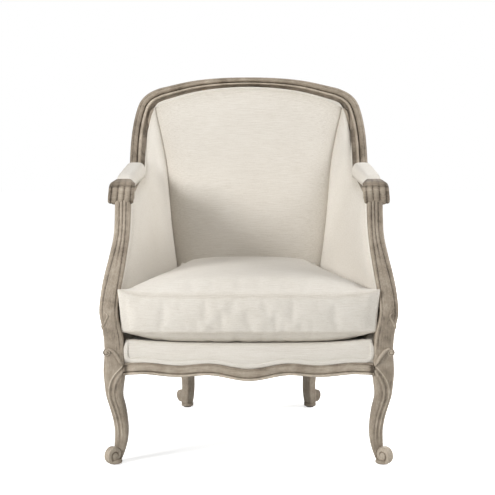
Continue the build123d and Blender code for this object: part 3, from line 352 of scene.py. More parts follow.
def coarse_cloth(name, dark, light, thread_mm):
    """Plain woven jute or cambric: crossed threads of two tones."""
    material, tree, shader, place = new_material(name)
    threads = []
    for axis in "XY":
        along = add_node(tree, "ShaderNodeMapping", [(place, "Vector")], Scale=stretched(axis, thread_mm, 8.0))
        thread = add_node(tree, "ShaderNodeTexNoise", [(along.outputs["Vector"], "Vector")], Scale=1.0)
        threads.append(thread.outputs["Fac"])
    weave = add_node(tree, "ShaderNodeMath", [(threads[0], 0), (threads[1], 1)], operation="MULTIPLY")
    stops = (0.15, linear(dark)), (0.4, linear(light))
    colour = add_node(tree, "ShaderNodeValToRGB", [(weave.outputs[0], "Fac")], stops)
    tree.links.new(colour.outputs["Color"], shader.inputs["Base Color"])
    shader.inputs["Roughness"].default_value = 0.95
    return material


def worn_solid(name, dark, light, metallic, roughness):
    """Steel wire or moulded nylon: an even tone with faint scuffing."""
    material, tree, shader, place = new_material(name)
    scuff = add_node(tree, "ShaderNodeTexNoise", [(place, "Vector")], Scale=SCUFFS, Detail=4.0)
    stops = (0.35, linear(dark)), (0.65, linear(light))
    colour = add_node(tree, "ShaderNodeValToRGB", [(scuff.outputs["Fac"], "Fac")], stops)
    tree.links.new(colour.outputs["Color"], shader.inputs["Base Color"])
    shader.inputs["Metallic"].default_value = metallic
    shader.inputs["Roughness"].default_value = roughness
    return material


# Curves and surfaces
def smooth_path(points, count):
    """Cubic Hermite curve through the points, spaced by chord length, with central-difference slopes."""
    knots = np.asarray(points, float)
    run = np.concatenate([[0.0], np.cumsum(np.linalg.norm(np.diff(knots, axis=0), axis=1))])
    slope = np.gradient(knots, run, axis=0)
    at = np.linspace(0.0, run[-1], count)
    i = np.clip(np.searchsorted(run, at, side="right") - 1, 0, len(run) - 2)
    span = (run[i + 1] - run[i])[:, None]
    x = (at - run[i])[:, None] / span
    return (
        (2 * x**3 - 3 * x**2 + 1) * knots[i]
        + (x**3 - 2 * x**2 + x) * span * slope[i]
        + (3 * x**2 - 2 * x**3) * knots[i + 1]
        + (x**3 - x**2) * span * slope[i + 1]
    )


def unit(vectors):
    """Vectors scaled to length 1."""
    return vectors / np.maximum(np.linalg.norm(vectors, axis=-1, keepdims=True), 1e-12)


def path_frames(path, outward):
    """Across and face directions along a path: outward made square to the path, and their cross product."""
    along = unit(np.gradient(path, axis=0))
    outward = np.broadcast_to(np.asarray(outward, float), path.shape)
    across = unit(outward - along * np.sum(along * outward, axis=1, keepdims=True))
    return across, np.cross(along, across)


def carry(path, across, face, profile):
    """Profile points (across, face) carried along a path: one grid row for each path point."""
    return path[:, None] + across[:, None] * profile[..., 0:1] + face[:, None] * profile[..., 1:2]


def mesh_from(name, points, faces, relief=None):
    """Mesh object with outward faces, smooth shading and a relief attribute that shades its material."""
    corners = points[faces]
    first, second = corners[:, 1] - corners[:, 0], corners[:, 2] - corners[:, 0]
    if np.sum(np.cross(first, second) * corners[:, 0]) < 0:
        faces = faces[:, ::-1]
    mesh = bpy.data.meshes.new(name)
    mesh.vertices.add(len(points))
    mesh.vertices.foreach_set("co", points.astype(np.float32).ravel())
    mesh.loops.add(faces.size)
    mesh.loops.foreach_set("vertex_index", faces.astype(np.int32).ravel())
    mesh.polygons.add(len(faces))
    mesh.polygons.foreach_set("loop_start", np.arange(len(faces), dtype=np.int32) * 4)
    mesh.polygons.foreach_set("loop_total", np.full(len(faces), 4, dtype=np.int32))
    mesh.update(calc_edges=True)
    mesh.polygons.foreach_set("use_smooth", np.ones(len(faces), dtype=bool))
    shade = mesh.attributes.new("relief", "FLOAT", "POINT")
    if relief is not None:
        shade.data.foreach_set("value", np.asarray(relief, float).ravel())
    mesh.validate()
    piece = bpy.data.objects.new(name, mesh)
    bpy.context.collection.objects.link(piece)
    return piece


def grid_faces(rows, columns):
    """Quads of a grid of rows by columns that wraps round its columns."""
    r, c = np.meshgrid(np.arange(rows - 1), np.arange(columns), indexing="ij")
    n = (c + 1) % columns
    quads = [r * columns + c, r * columns + n, (r + 1) * columns + n, (r + 1) * columns + c]
    return np.stack(quads, axis=-1).reshape(-1, 4)


def sleeve(name, grid, relief=None):
    """Closed skin from rings of points: each end is drawn in to its middle by shrinking rings."""
    shrink = np.array([0.72, 0.36, 0.04])[:, None, None]
    first = grid[0].mean(axis=0) + (grid[0] - grid[0].mean(axis=0)) * shrink
    last = grid[-1].mean(axis=0) + (grid[-1] - grid[-1].mean(axis=0)) * shrink
    rings = np.concatenate([first[::-1], grid, last])
    if relief is not None:
        relief = np.broadcast_to(relief, grid.shape[:2])
        relief = np.concatenate([np.repeat(relief[:1], 3, 0), relief, np.repeat(relief[-1:], 3, 0)])
    rows, columns = rings.shape[:2]
    faces = grid_faces(rows, columns)
    # The last small ring of each end closes across itself in pairs
    half = np.arange(columns // 2 - 1)
    cap = np.stack([half, half + 1, columns - 2 - half, columns - 1 - half], axis=-1)
    faces = np.concatenate([faces, cap[:, ::-1], cap + (rows - 1) * columns])
    return mesh_from(name, rings.reshape(-1, 3), faces, relief)


def pillow(name, front, inward, thickness, relief=None):
    """Closed pad from a front grid: the same grid set back along inward, joined to it round the rim."""
    rows, columns = front.shape[:2]
    back = front + np.broadcast_to(inward, front.shape) * thickness
    points = np.concatenate([front.reshape(-1, 3), back.reshape(-1, 3)])
    r, c = np.meshgrid(np.arange(rows - 1), np.arange(columns - 1), indexing="ij")
    quads = [r * columns + c, r * columns + c + 1, (r + 1) * columns + c + 1, (r + 1) * columns + c]
    sheet = np.stack(quads, axis=-1).reshape(-1, 4)
    count = rows * columns
    rim = np.concatenate(
        [
            np.arange(columns),
            np.arange(1, rows) * columns + columns - 1,
            (rows - 1) * columns + np.arange(columns - 2, -1, -1),
            np.arange(rows - 2, 0, -1) * columns,
        ]
    )
    after = np.roll(rim, -1)
    wall = np.stack([rim, rim + count, after + count, after], axis=-1)
    faces = np.concatenate([sheet, sheet[:, ::-1] + count, wall])
    if relief is not None:
        relief = np.concatenate([np.ravel(relief), np.ravel(relief)])
    return mesh_from(name, points, faces, relief)


def coons(bottom, top, left, right):
    """Surface between four edge curves: the two ruled blends less the corners' bilinear blend."""
    u = np.linspace(0, 1, len(bottom))[None, :, None]
    v = np.linspace(0, 1, len(left))[:, None, None]
    across = bottom[None] * (1 - v) + top[None] * v
    along = left[:, None] * (1 - u) + right[:, None] * u
    corners = (bottom[0] * (1 - u) + bottom[-1] * u) * (1 - v) + (top[0] * (1 - u) + top[-1] * u) * v
    return across + along - corners


def surface_normals(grid):
    """Unit normals of a grid by the cross product of its two slopes."""
    return unit(np.cross(np.gradient(grid, axis=1), np.gradient(grid, axis=0)))


def rolled(count, edge):
    """Padding height along one side of a panel: a quarter-round rise over the edge share, then full."""
    t = np.linspace(0, 1, count)
    rise = np.clip(np.minimum(t, 1 - t) / edge, 0, 1)
    return (1 - (1 - rise) ** 2.0) ** 0.5


def mirrored(points):
    """Points of the left half from those of the right."""
    return points * np.array([-1.0, 1.0, 1.0])


# Each side and what places the right side's points there
SIDES = ("right", np.asarray), ("left", mirrored)


def finish_piece(piece, body, material, nodes=()):
    """Gives a piece its material and body, and hides the CAD nodes that it stands for."""
    piece.data.materials.append(material)
    if nodes:
        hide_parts(*nodes)
    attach(piece, body)


def carve(name, grid, shade, axis, nodes=()):
    """Show-wood piece of the chair from rings of points, its grain along an axis."""
    finish_piece(sleeve(name, grid, shade), "chair", MATERIALS[f"wood_{axis}"], nodes)


def upholster(piece, axis, nodes=()):
    """Linen on a piece of the chair, its threads along an axis."""
    finish_piece(piece, "chair", MATERIALS[f"linen_{axis}"], nodes)


# The line of the show-wood: crest, wing and arm
def crest_line(count):
    """Crest from the left shoulder to the right: an arc, then tighter shoulder arcs, in a raked plane.

    Where arc and shoulder meet the line is eased inwards, by a smooth bump of a few millimetres.
    """
    arc = CREST_ARC_TURN * CREST_RADIUS
    run = np.linspace(-1, 1, count) * (arc + (SHOULDER_TURN - CREST_ARC_TURN) * SHOULDER_RADIUS)
    on_arc = np.minimum(np.abs(run), arc)
    on_shoulder = np.abs(run) - on_arc
    first = on_arc / CREST_RADIUS
    turn = first + on_shoulder / SHOULDER_RADIUS
    out = CREST_RADIUS * np.sin(first) + SHOULDER_RADIUS * (np.sin(turn) - np.sin(first))
    drop = CREST_RADIUS * (1 - np.cos(first)) + SHOULDER_RADIUS * (np.cos(first) - np.cos(turn))
    side = np.sign(run)
    rise = np.array([0.0, np.sin(CREST_RAKE), np.cos(CREST_RAKE)])
    path = CREST_MIDDLE + np.outer(side * out, [1, 0, 0]) - np.outer(drop, rise)
    across = np.outer(side * np.sin(turn), [1, 0, 0]) + np.outer(np.cos(turn), rise)
    face = np.broadcast_to([0.0, -np.cos(CREST_RAKE), np.sin(CREST_RAKE)], path.shape)
    share = np.abs(np.linspace(-1, 1, count))
    reach = np.where(share < EASE_AT, 0.24, 0.12)
    ease = EASE * np.exp(-(((share - EASE_AT) / reach) ** 2)) * (1 - share**16)
    return path - across * ease[:, None], across, face, CREST_WIDTH + (WING_WIDTH - CREST_WIDTH) * share**1.5


def wing_line(count):
    """Right wing: a cubic curve from the shoulder's end, down and forward to the arm's rear."""
    path, across, face, _ = crest_line(3)
    start = path[-1]
    along = np.cross(across[-1], face[-1])
    arm = unit(ARM_FRONT - ARM_REAR)
    poles = start, start + along * WING_DROP, ARM_REAR - arm * WING_REACH, ARM_REAR
    t = np.linspace(0, 1, count)[:, None]
    r = 1 - t
    path = poles[0] * r**3 + poles[1] * 3 * r * r * t + poles[2] * 3 * r * t * t + poles[3] * t**3
    return (path, *path_frames(path, (1, 0, 0)))


def arm_line(count):
    """Right arm: a straight line to the handhold."""
    path = ARM_REAR + (ARM_FRONT - ARM_REAR) * np.linspace(0, 1, count)[:, None]
    return (path, *path_frames(path, (1, 0, 0)))


def moulding(half_width, half_depth):
    """Section of the show-wood from outer edge over the face to the inner edge and round the back.

    The face is a torus with a line cut in it, a groove, a bead and a cove, each a part of a circle or a
    straight step. Returns the points and a shade for each: dark in the line, groove and cove, with stain
    and painted shade, and lighter on the torus and bead, with painted highlight.
    """
    w = np.linspace(0.97, -0.97, 72)
    torus = np.sqrt(np.clip(1 - ((w - 0.50) / 0.47) ** 2, 0, 1))
    line = np.exp(-(((w - 0.60) / 0.055) ** 2))
    torus = torus - 0.16 * line
    bead = np.sqrt(np.clip(1 - ((w + 0.27) / 0.21) ** 2, 0, 1))
    cove = np.clip((-0.48 - w) / 0.5, 0, 1)
    bands = [w > 0.03, w > -0.06, w > -0.48]
    height = np.select(
        bands, [torus * 0.0095, 0 * w - 0.0015, bead * 0.0058], -0.0022 - cove**0.6 * 0.005
    )
    shade = np.select(
        bands, [torus * 0.6 - 0.55 - 0.4 * line, 0 * w - 1.2, bead * 1.2 - 0.45], -0.45 - 0.3 * cove
    )
    face = np.stack([w * half_width, half_depth - 0.0085 + height], axis=-1)
    corner = np.linspace(0, np.pi / 2, 7)
    r = 0.008
    back_in = np.stack([-half_width + r - r * np.cos(corner), -half_depth + r - r * np.sin(corner)], axis=-1)
    back_out = np.stack([half_width - r + r * np.sin(corner), -half_depth + r - r * np.cos(corner)], axis=-1)
    points = np.concatenate([face, back_in, back_out])
    return points, np.concatenate([shade, np.zeros(14)])


class BergereLooks(bpy.types.PropertyGroup):
    """Colours and soft sizes of the chair."""

    # The wood ramp runs from wood_dark in the carving, with stain and painted shade, to wood_worn_and_highlit
    # on the ridges, with wear and painted highlight
    wood_dark: bpy.props.FloatVectorProperty(
        name="Wood in the carving",
        description="Stain left in grooves",
        subtype="COLOR",
        default=linear("#493f33"),
    )
    wood_mid: bpy.props.FloatVectorProperty(
        name="Wood", description="Grey-brown stain", subtype="COLOR", default=linear("#8b7f70")
    )
    wood_light: bpy.props.FloatVectorProperty(
        name="Rubbed wood", description="Wood on raised faces", subtype="COLOR", default=linear("#a99d8d")
    )
    wood_worn_and_highlit: bpy.props.FloatVectorProperty(
        name="Worn edge",
        description="Wood where the stain is worn off",
        subtype="COLOR",
        default=linear("#c7bbaa"),
    )
    linen_shade: bpy.props.FloatVectorProperty(
        name="Linen, thick threads", description="Darker yarn", subtype="COLOR", default=linear("#c0b8ab")
    )
    linen_mid: bpy.props.FloatVectorProperty(
        name="Linen", description="Main yarn", subtype="COLOR", default=linear("#dad4ca")
    )
    linen_light: bpy.props.FloatVectorProperty(
        name="Linen, pale threads", description="Palest yarn", subtype="COLOR", default=linear("#e9e5de")
    )
    back_crown: bpy.props.FloatProperty(
        name="Back crown", description="Swell of the inside back", unit="LENGTH", default=0.020
    )
    arm_crown: bpy.props.FloatProperty(
        name="Arm crown", description="Swell of the inside arms", unit="LENGTH", default=0.012
    )
    trim_width: bpy.props.FloatProperty(
        name="Trim width", description="Self-fabric trim beside the wood", unit="LENGTH", default=0.0115
    )
    trim_height: bpy.props.FloatProperty(
        name="Trim height", description="Thickness of the trim", unit="LENGTH", default=0.0032
    )
    cushion_crown: bpy.props.FloatProperty(
        name="Cushion crown",
        description="Rise of the cushion's top above its seam",
        unit="LENGTH",
        default=0.043,
    )
    cushion_pressure: bpy.props.FloatProperty(
        name="Cushion pressure", description="Stuffing pressure while the cover settles", default=3.0
    )


class BERGERE_OT_finishes(bpy.types.Operator):
    """Makes the materials and dresses the frame's own nodes"""

    bl_idname = "bergere.finishes"
    bl_label = "Finishes"

    def execute(self, context):
        looks = context.scene.bergere
        for axis in "XYZ":
            MATERIALS[f"wood_{axis}"] = weathered_wood(f"Weathered hardwood {axis}", axis, looks)
        MATERIALS["linen_X"] = linen("Slubbed linen", "X", looks)
        MATERIALS["linen_Y"] = linen("Slubbed linen, arms", "Y", looks)
        MATERIALS["frame_wood"] = plain_wood("Sawn beech")
        MATERIALS["jute"] = coarse_cloth("Woven jute", "#6b5334", "#a88d62", 1.2)
        MATERIALS["cambric"] = coarse_cloth("Black cambric", "#141414", "#2a2a29", 0.8)
        MATERIALS["steel"] = worn_solid("Spring steel", "#8b8c8e", "#b4b5b6", 1.0, 0.4)
        MATERIALS["nylon"] = worn_solid("Moulded nylon", "#1d1a17", "#2b2724", 0.0, 0.5)
        slots = {entry["node"]: entry["material_slot"] for entry in frame["record"]["subparts"]}
        finishes = {"weathered_wood": "wood_Z", "linen": "linen_X"}
        for name, obj in frame["nodes"].items():
            obj.data.materials.clear()
            obj.data.materials.append(MATERIALS[finishes.get(slots[name], slots[name])])
        return {"FINISHED"}


class BERGERE_OT_show_rails(bpy.types.Operator):
    """Carves the crest, wing and arm rails as one moulding carried along their line"""

    bl_idname = "bergere.show_rails"
    bl_label = "Crest, wings and arms"

    def execute(self, context):
        path, across, face, width = crest_line(181)
        section, shade = moulding(1.0, CREST_DEPTH / 2)
        profile = np.repeat(section[None], len(path), 0)
        profile[..., 0] *= width[:, None] / 2
        crest = carry(path, across, face, profile)
        carve("crest_moulding", crest, shade[None] + CREST_PAINTED_LIGHT, "X", ["crest_rail"])
        wing_path, wing_across, wing_face = wing_line(90)
        arm_path, arm_across, arm_face = arm_line(60)
        depth = np.linspace(CREST_DEPTH, ARM_DEPTH, len(wing_path)) / 2
        wing_section = np.stack([moulding(WING_WIDTH / 2, half)[0] for half in depth])
        wing_grid = carry(wing_path, wing_across, wing_face, wing_section)
        arm_section = moulding(WING_WIDTH / 2, ARM_DEPTH / 2)[0]
        arm_grid = carry(arm_path, arm_across, arm_face, np.repeat(arm_section[None], len(arm_path), 0))
        # Painted light and shade: the crest is painted paler and the wings darker from the shoulder down
        stain = CREST_PAINTED_LIGHT - 0.45 * np.clip(np.linspace(0, 3, len(wing_path)), 0, 1)[:, None]
        for side, place in SIDES:
            wing_nodes, arm_nodes = [f"wing_rail_{side}"], [f"arm_rail_{side}"]
            carve(f"wing_moulding_{side}", place(wing_grid), shade[None] + stain, "Z", wing_nodes)
            carve(f"arm_moulding_{side}", place(arm_grid), shade[None], "Y", arm_nodes)
        return {"FINISHED"}


def handhold_grid():
    """Scroll handhold: squared rings about a level axis, swelling into four reeds across its width.

    The radius is a squared circle times one less a small share where two reeds meet, drawn in at both
    ends; the reeds fade into a cap over the top; the half width is largest at the front and narrows
    over the top and underneath, by a table.
    """
    x = np.linspace(-1, 1, 121)[:, None]
    turn = np.linspace(0, 2 * np.pi, 120, endpoint=False)[None]
    cap = np.clip((np.radians(REEDS_START) - turn) / 0.16, 0, 1)
    edge = hump(turn, np.radians(REEDS_START - 5), 0.07)
    streaks = np.abs(np.cos(2 * np.pi * x)) ** 0.5
    reeds = streaks * (1 - cap) + 0.8 * cap
    barrel = 1 - np.abs(x) ** 8 * 0.17
    radius = SCROLL_RADIUS * squared_ring(turn - np.radians(12), 3.4) * barrel * (0.91 + 0.09 * reeds)
    half = np.interp(
        np.degrees(turn),
        [0, 60, 90, 125, 150, 215, 245, 275, 320, 360],
        [0.0200, 0.0205, 0.0250, 0.0315, 0.0330, 0.0330, 0.0325, 0.0290, 0.0235, 0.0200],
    )
    grid = np.stack(
        [
            HANDHOLD_X - 0.0035 * np.sin(turn) + x * half,
            SCROLL_Y + radius * np.cos(turn),
            ARM_FRONT[2] + radius * np.sin(turn),
        ],
        axis=-1,
    )
    # Painted highlight over the front of the top, painted shade towards both ends, and dark between the reeds
    # and along the line where they begin, with stain and painted shade
    painted_highlight_and_shade = 0.45 * hump(turn, np.radians(REEDS_START + 10), 0.16) - 0.55 * np.abs(x) ** 3
    return grid, reeds * 1.4 - 1.40 - 0.22 * cap - 0.6 * edge + painted_highlight_and_shade + 0.45 * cap * (streaks - 0.75)


def scroll(middle, axis, toward, lift, radius, width, coils, hand=1.0):
    """Snail scroll: a drum whose ends rise to an eye and carry a spiral groove.

    Rings run from one end's middle out to the rim and in to the other's. The groove lies where the
    distance from the middle, counted in coils, differs from the turn by a whole number.
    """
    end = np.linspace(0.04, 0.96, 44)
    reach = np.concatenate([end, [0.99, 1.0, 1.0, 1.0, 0.99], np.linspace(0.96, 0.04, 44)])
    side = np.concatenate([np.ones(44), [0.93, 0.75, 0.0, -0.75, -0.93], -np.ones(44)])
    turn = np.linspace(0, 2 * np.pi, 84, endpoint=False)[None]
    phase = (reach[:, None] ** 0.9 * coils - hand * turn / (2 * np.pi)) % 1.0
    gap = np.minimum(phase, 1 - phase)
    on_end = (np.abs(side) == 1.0)[:, None]
    groove = np.exp(-((gap / 0.13) ** 2)) * on_end * np.clip(reach[:, None] * 5 - 0.6, 0, 1)
    out = side[:, None] * width / 2 * (1 + 0.22 * (1 - reach[:, None]) - 0.26 * groove)
    distance = radius * reach[:, None] * (1 + 0.05 * np.cos(turn + 0.6))
    grid = (
        middle
        + out[..., None] * axis
        + (distance * np.cos(turn))[..., None] * toward
        + (distance * np.sin(turn))[..., None] * lift
    )
    # Dark in the spiral groove, with stain and painted shade
    return grid, 0.40 - 1.3 * groove


class BERGERE_OT_handholds(bpy.types.Operator):
    """Carves the reeded scroll at the front of each arm"""

    bl_idname = "bergere.handholds"
    bl_label = "Handholds"

    def execute(self, context):
        grid, shade = handhold_grid()
        ends = {}
        for end, shift in (("inner", -0.0265), ("outer", 0.0265)):
            middle = np.array([HANDHOLD_X + shift, SCROLL_Y, ARM_FRONT[2]])
            ends[end] = scroll(middle, RIGHT, REAR, UP, 0.0200, 0.008, 2.2)
        for side, place in SIDES:
            carve(f"handhold_{side}", place(grid), shade, "X")
            for end, (coil, coil_shade) in ends.items():
                carve(f"handhold_volute_{end}_{side}", place(coil), coil_shade, "X")
        return {"FINISHED"}


def squared_ring(turn, power):
    """Distance to the edge of a squared circle of half width 1 at each turn."""
    return (np.abs(np.cos(turn)) ** power + np.abs(np.sin(turn)) ** power) ** (-1 / power)


def hump(turn, middle, width):
    """Smooth bump of height 1 around a turn, by the wrapped distance."""
    gap = np.abs((turn - middle + np.pi) % (2 * np.pi) - np.pi)
    return np.exp(-((gap / width) ** 2))


def stump_grid():
    """Right arm stump: squared rings up an S curve, with lengthwise reeds on the front.

    Two grooves run up the front face, closing in on a third near the top, and fade out at the curl near
    the seat; below it one line follows the inner edge.
    """
    curve = smooth_path([(x, y, z, w, d) for z, x, y, w, d in STUMP_CURVE], 130)
    turn = np.linspace(0, 2 * np.pi, 112, endpoint=False)[None]
    x, y, z, wide, deep = np.split(curve, 5, axis=1)
    reeded = np.clip((z - 0.350) / 0.05, 0, 1)
    rise = np.clip((z - 0.42) / 0.16, 0, 1)
    upper = np.clip((z - 0.49) / 0.06, 0, 1)
    sides = hump(turn, np.radians(-127 + 10 * rise), 0.045) + hump(turn, np.radians(-58 - 12 * rise), 0.045)
    grooves = sides + hump(turn, np.radians(-95), 0.045) * upper
    edges = hump(turn, np.radians(-45), 0.10) + hump(turn, np.radians(-135), 0.10)
    beads = sum(hump(turn, np.radians(a), 0.10) for a in (-106, -83)) * (0.4 + 0.6 * upper)
    low = np.clip((z - 0.288) / 0.02, 0, 1) * np.clip((0.372 - z) / 0.03, 0, 1)
    line = hump(turn, np.radians(-122), 0.045) * low
    carved = 0.06 * grooves * reeded + 0.05 * line - 0.03 * edges - 0.025 * beads * reeded
    ring = squared_ring(turn, 5.0) * (1 - carved)
    grid = np.stack(
        [
            LEG_X + x + ring * np.cos(turn) * wide / 2,
            LEG_Y + y + ring * np.sin(turn) * deep / 2,
            z + 0 * turn,
        ],
        axis=-1,
    )
    # Dark in the grooves and the inner line, with stain and painted shade; painted highlight on the corners and
    # beads; the whole stump painted a little darker
    return grid, reeded * (beads * 0.5 - grooves * 1.2) + edges * 0.5 - line - 0.15


def leg_grid():
    """Right front leg: squared rings down a cabriole curve.

    An arris starts at the inner corner by the rail, sweeps to the outer front under the knee and runs
    down the shin; two shallow flutes follow it on the inner side.
    """
    curve = smooth_path([(s, z, w) for z, s, w in LEG_CURVE], 170)
    turn = np.linspace(0, 2 * np.pi, 128, endpoint=False)[None]
    z = curve[:, 1:2]
    table = smooth_path(LEG_ARRIS, 120)
    sweep = np.radians(np.interp(z, table[:, 0], table[:, 1] * 1000))
    fade = np.clip((z - 0.040) / 0.05, 0, 1) * np.clip((0.266 - z) / 0.012, 0, 1)
    arris = hump(turn, sweep, 0.055) * fade
    flutes = (hump(turn, sweep - 0.24, 0.11) + 0.7 * hump(turn, sweep - 0.72, 0.10)) * fade
    beads = hump(turn, sweep - 0.50, 0.09) * fade
    ring = squared_ring(turn, 3.6) * (1 + 0.035 * arris - 0.055 * flutes + 0.015 * beads)
    half = curve[:, 2:3] / 2
    grid = np.stack(
        [
            LEG_X + curve[:, 0:1] + ring * np.cos(turn) * half,
            LEG_Y - curve[:, 0:1] + ring * np.sin(turn) * half,
            z + 0 * turn,
        ],
        axis=-1,
    )
    # Painted highlight along the arris and on the beads; dark in the flutes, with stain and painted shade
    return grid, arris * 1.3 - flutes * 0.6 + beads * 0.4


def foot_grid(middle):
    """Round foot pad: rings whose radius follows half an ellipse between glide and toe."""
    t = np.linspace(-1, 1, 17)[:, None]
    turn = np.linspace(0, 2 * np.pi, 64, endpoint=False)[None]
    radius = 0.0140 + 0.0045 * np.sqrt(1 - t**2)
    rise = 0.0075 + 0.0050 * t + 0 * turn
    return np.stack([middle[0] + radius * np.cos(turn), middle[1] + radius * np.sin(turn), rise], axis=-1)


def carved_bead(points, outward, across_half, face_half):
    """Carved bead: an oval carried along a smooth path, its half width and height eased between tables.

    Relief paints shade along one edge and a highlight along the other.
    """
    path = smooth_path(points, 60)
    across, face = path_frames(path, outward)
    ring = np.linspace(0, 2 * np.pi, 24, endpoint=False)
    share = np.linspace(0, 1, len(across_half))
    at = np.linspace(0, 1, len(path))
    wide, tall = (np.interp(at, share, half)[:, None] for half in (across_half, face_half))
    grid = carry(path, across, face, np.stack([wide * np.cos(ring), tall * np.sin(ring)], axis=-1))
    return grid, np.broadcast_to(0.9 * np.cos(ring) + 0.5 * np.sin(ring) - 0.6, grid.shape[:2])


class BERGERE_OT_legs(bpy.types.Operator):
    """Carves the front legs with their scroll toes and the arm stumps above them"""

    bl_idname = "bergere.legs"
    bl_label = "Front legs and stumps"

    def execute(self, context):
        leg, leg_shade = leg_grid()
        stump, stump_shade = stump_grid()
        corner = np.array([LEG_X, LEG_Y, 0.0])
        diagonal, square = unit(RIGHT - REAR), unit(RIGHT + REAR)
        ribbon = carved_bead(
            corner + KNEE_RIBBON,
            (0.2, -1.0, 0.3),
            (0.0020, 0.0046, 0.0064, 0.0066, 0.0030),
            (0.0030, 0.0046, 0.0052, 0.0050, 0.0020),
        )
        widths = (0.0010, 0.0028, 0.0032, 0.0036, 0.0044, 0.0012)
        pieces = {
            "toe_scroll": scroll(TOE_MIDDLE, square, diagonal, UP, 0.0222, 0.019, 1.7, -1.0),
            "foot_pad": (foot_grid((LEG_X + 0.001, LEG_Y - 0.0145)), None),
            "stump_curl": carved_bead(corner + STUMP_HOOK, (0.2, -1.0, 0.0), widths, widths),
            "ribbon_volute": scroll(VOLUTE_MIDDLE, -REAR, RIGHT, UP, 0.0092, 0.014, 1.2),
            "leg_ribbon": ribbon,
        }
        for side, place in SIDES:
            carve(f"cabriole_leg_{side}", place(leg), leg_shade, "Z", [f"front_leg_{side}"])
            carve(f"stump_{side}", place(stump), stump_shade, "Z", [f"arm_stump_{side}"])
            for name, (grid, shade) in pieces.items():
                carve(f"{name}_{side}", place(grid), shade, "Z")
        return {"FINISHED"}


def rail_section():
    """Section of the seat rail's moulding, bottom to top: bead, groove, flat band and fillet, then back."""
    h = np.linspace(0, 1, 60)
    bead = np.sqrt(np.clip(1 - ((h - 0.13) / 0.13) ** 2, 0, 1))
    band = np.sqrt(np.clip(1 - ((h - 0.58) / 0.32) ** 2, 0, 1))
    fillet = np.sqrt(np.clip(1 - ((h - 0.94) / 0.06) ** 2, 0, 1))
    bands = [h < 0.26, h < 0.32, h < 0.86]
    proud = np.select(
        bands, [bead * 0.0065 - 0.001, 0 * h - 0.003, band * 0.004 + 0.001], fillet * 0.002 - 0.003
    )
    # Painted highlight on the bead and band; dark in the groove and under the fillet, with stain and painted
    # shade
    shade = np.select(bands, [bead * 1.3 - 0.3, 0 * h - 1.5, band * 0.5 - 0.2], fillet * 0.6 - 1.2)
    points = np.concatenate([np.stack([proud, h], axis=-1), [[-0.015, 1.0], [-0.018, 0.5], [-0.015, 0.0]]])
    return points, np.concatenate([shade, np.zeros(3)])


class BERGERE_OT_seat_rails(bpy.types.Operator):
    """Moulds the waved front rail and the straight side rails"""

    bl_idname = "bergere.seat_rails"
    bl_label = "Seat rails"

    def execute(self, context):
        section, shade = rail_section()
        x = np.linspace(-0.3135, 0.3135, 241)
        wave = smooth_path(RAIL_WAVE, 400)
        bow = smooth_path(RAIL_BOW, 400)
        low = np.interp(x, wave[:, 0], wave[:, 1])
        face = np.interp(x, bow[:, 0], bow[:, 1])
        grid = np.stack(
            [
                x[:, None] + 0 * section[None, :, 0],
                face[:, None] - section[None, :, 0],
                low[:, None] + RAIL_BAND * section[None, :, 1],
            ],
            axis=-1,
        )
        # Painted shadow at each end of the front rail, where it meets the leg
        painted_end_shadow = 1.9 * np.exp(-(((np.abs(x) - 0.3085) / 0.0055) ** 2))[:, None]
        carve("front_rail_moulding", grid, shade[None] - painted_end_shadow, "X")
        side_path = np.linspace([0.3555, -0.313, 0.2285], [0.2085, 0.243, 0.2285], 60)
        along = unit(side_path[-1] - side_path[0])
        outward = np.broadcast_to([along[1], -along[0], 0.0], side_path.shape)
        upward = np.broadcast_to(UP, side_path.shape)
        rail = carry(side_path, outward, upward, np.repeat((section * [1, RAIL_BAND])[None], len(side_path), 0))
        for side, place in SIDES:
            carve(f"side_rail_moulding_{side}", place(rail), shade[None], "Y")
            frame["nodes"][f"side_rail_{side}"].data.materials[0] = MATERIALS["wood_Y"]
        frame["nodes"]["front_rail"].data.materials[0] = MATERIALS["wood_X"]
        frame["nodes"]["back_rail"].data.materials[0] = MATERIALS["wood_X"]
        return {"FINISHED"}


# Edges that the covers share with the wood
def back_y(z):
    """Face of the inside back at a height, before its crown."""
    return BACK_FRONT_Y + BACK_SLOPE * (np.asarray(z) - BACK_LEVEL)


def zip_y(z):
    """Face of the zip's tape at a height, in its pocket at the cushion's rear."""
    return ZIP_FACE_Y + BACK_SLOPE * (np.asarray(z) - ZIP_LEVEL)


def deck_level(x, y):
    """Height of the deck: level at the rear, dipping to the middle of its front edge."""
    front = np.clip((DECK_REAR_Y - y) / (DECK_REAR_Y - DECK_FRONT_Y), 0, 1)
    return DECK_TOP - DECK_DIP * np.clip(1 - (x / 0.300) ** 2, 0, 1) * front


def seam_edge(count):
    """Right seam between inside back and inside arm, from the deck to the shoulder."""
    curve = smooth_path(SEAM, count)
    return np.stack([curve[:, 1], back_y(curve[:, 0]), curve[:, 0]], axis=-1)


def rail_edge(line, across_share, face_offset):
    """Edge of a rail: its line moved across by a share of its half width and along its face."""
    path, across, face = line[:3]
    return path + across * (across_share * WING_WIDTH / 2) + face * face_offset


def crest_inner_edge(count):
    """Inner edge of the crest's face, from left to right."""
    path, across, face, width = crest_line(count)
    return path - across * (width[:, None] / 2 + 0.001) + face * (CREST_DEPTH / 2 - 0.012)


def resample(points, count):
    """Points spread evenly by length along a polyline."""
    run = np.concatenate([[0.0], np.cumsum(np.linalg.norm(np.diff(points, axis=0), axis=1))])
    at = np.linspace(0, run[-1], count)
    return np.stack([np.interp(at, run, points[:, i]) for i in range(3)], axis=-1)


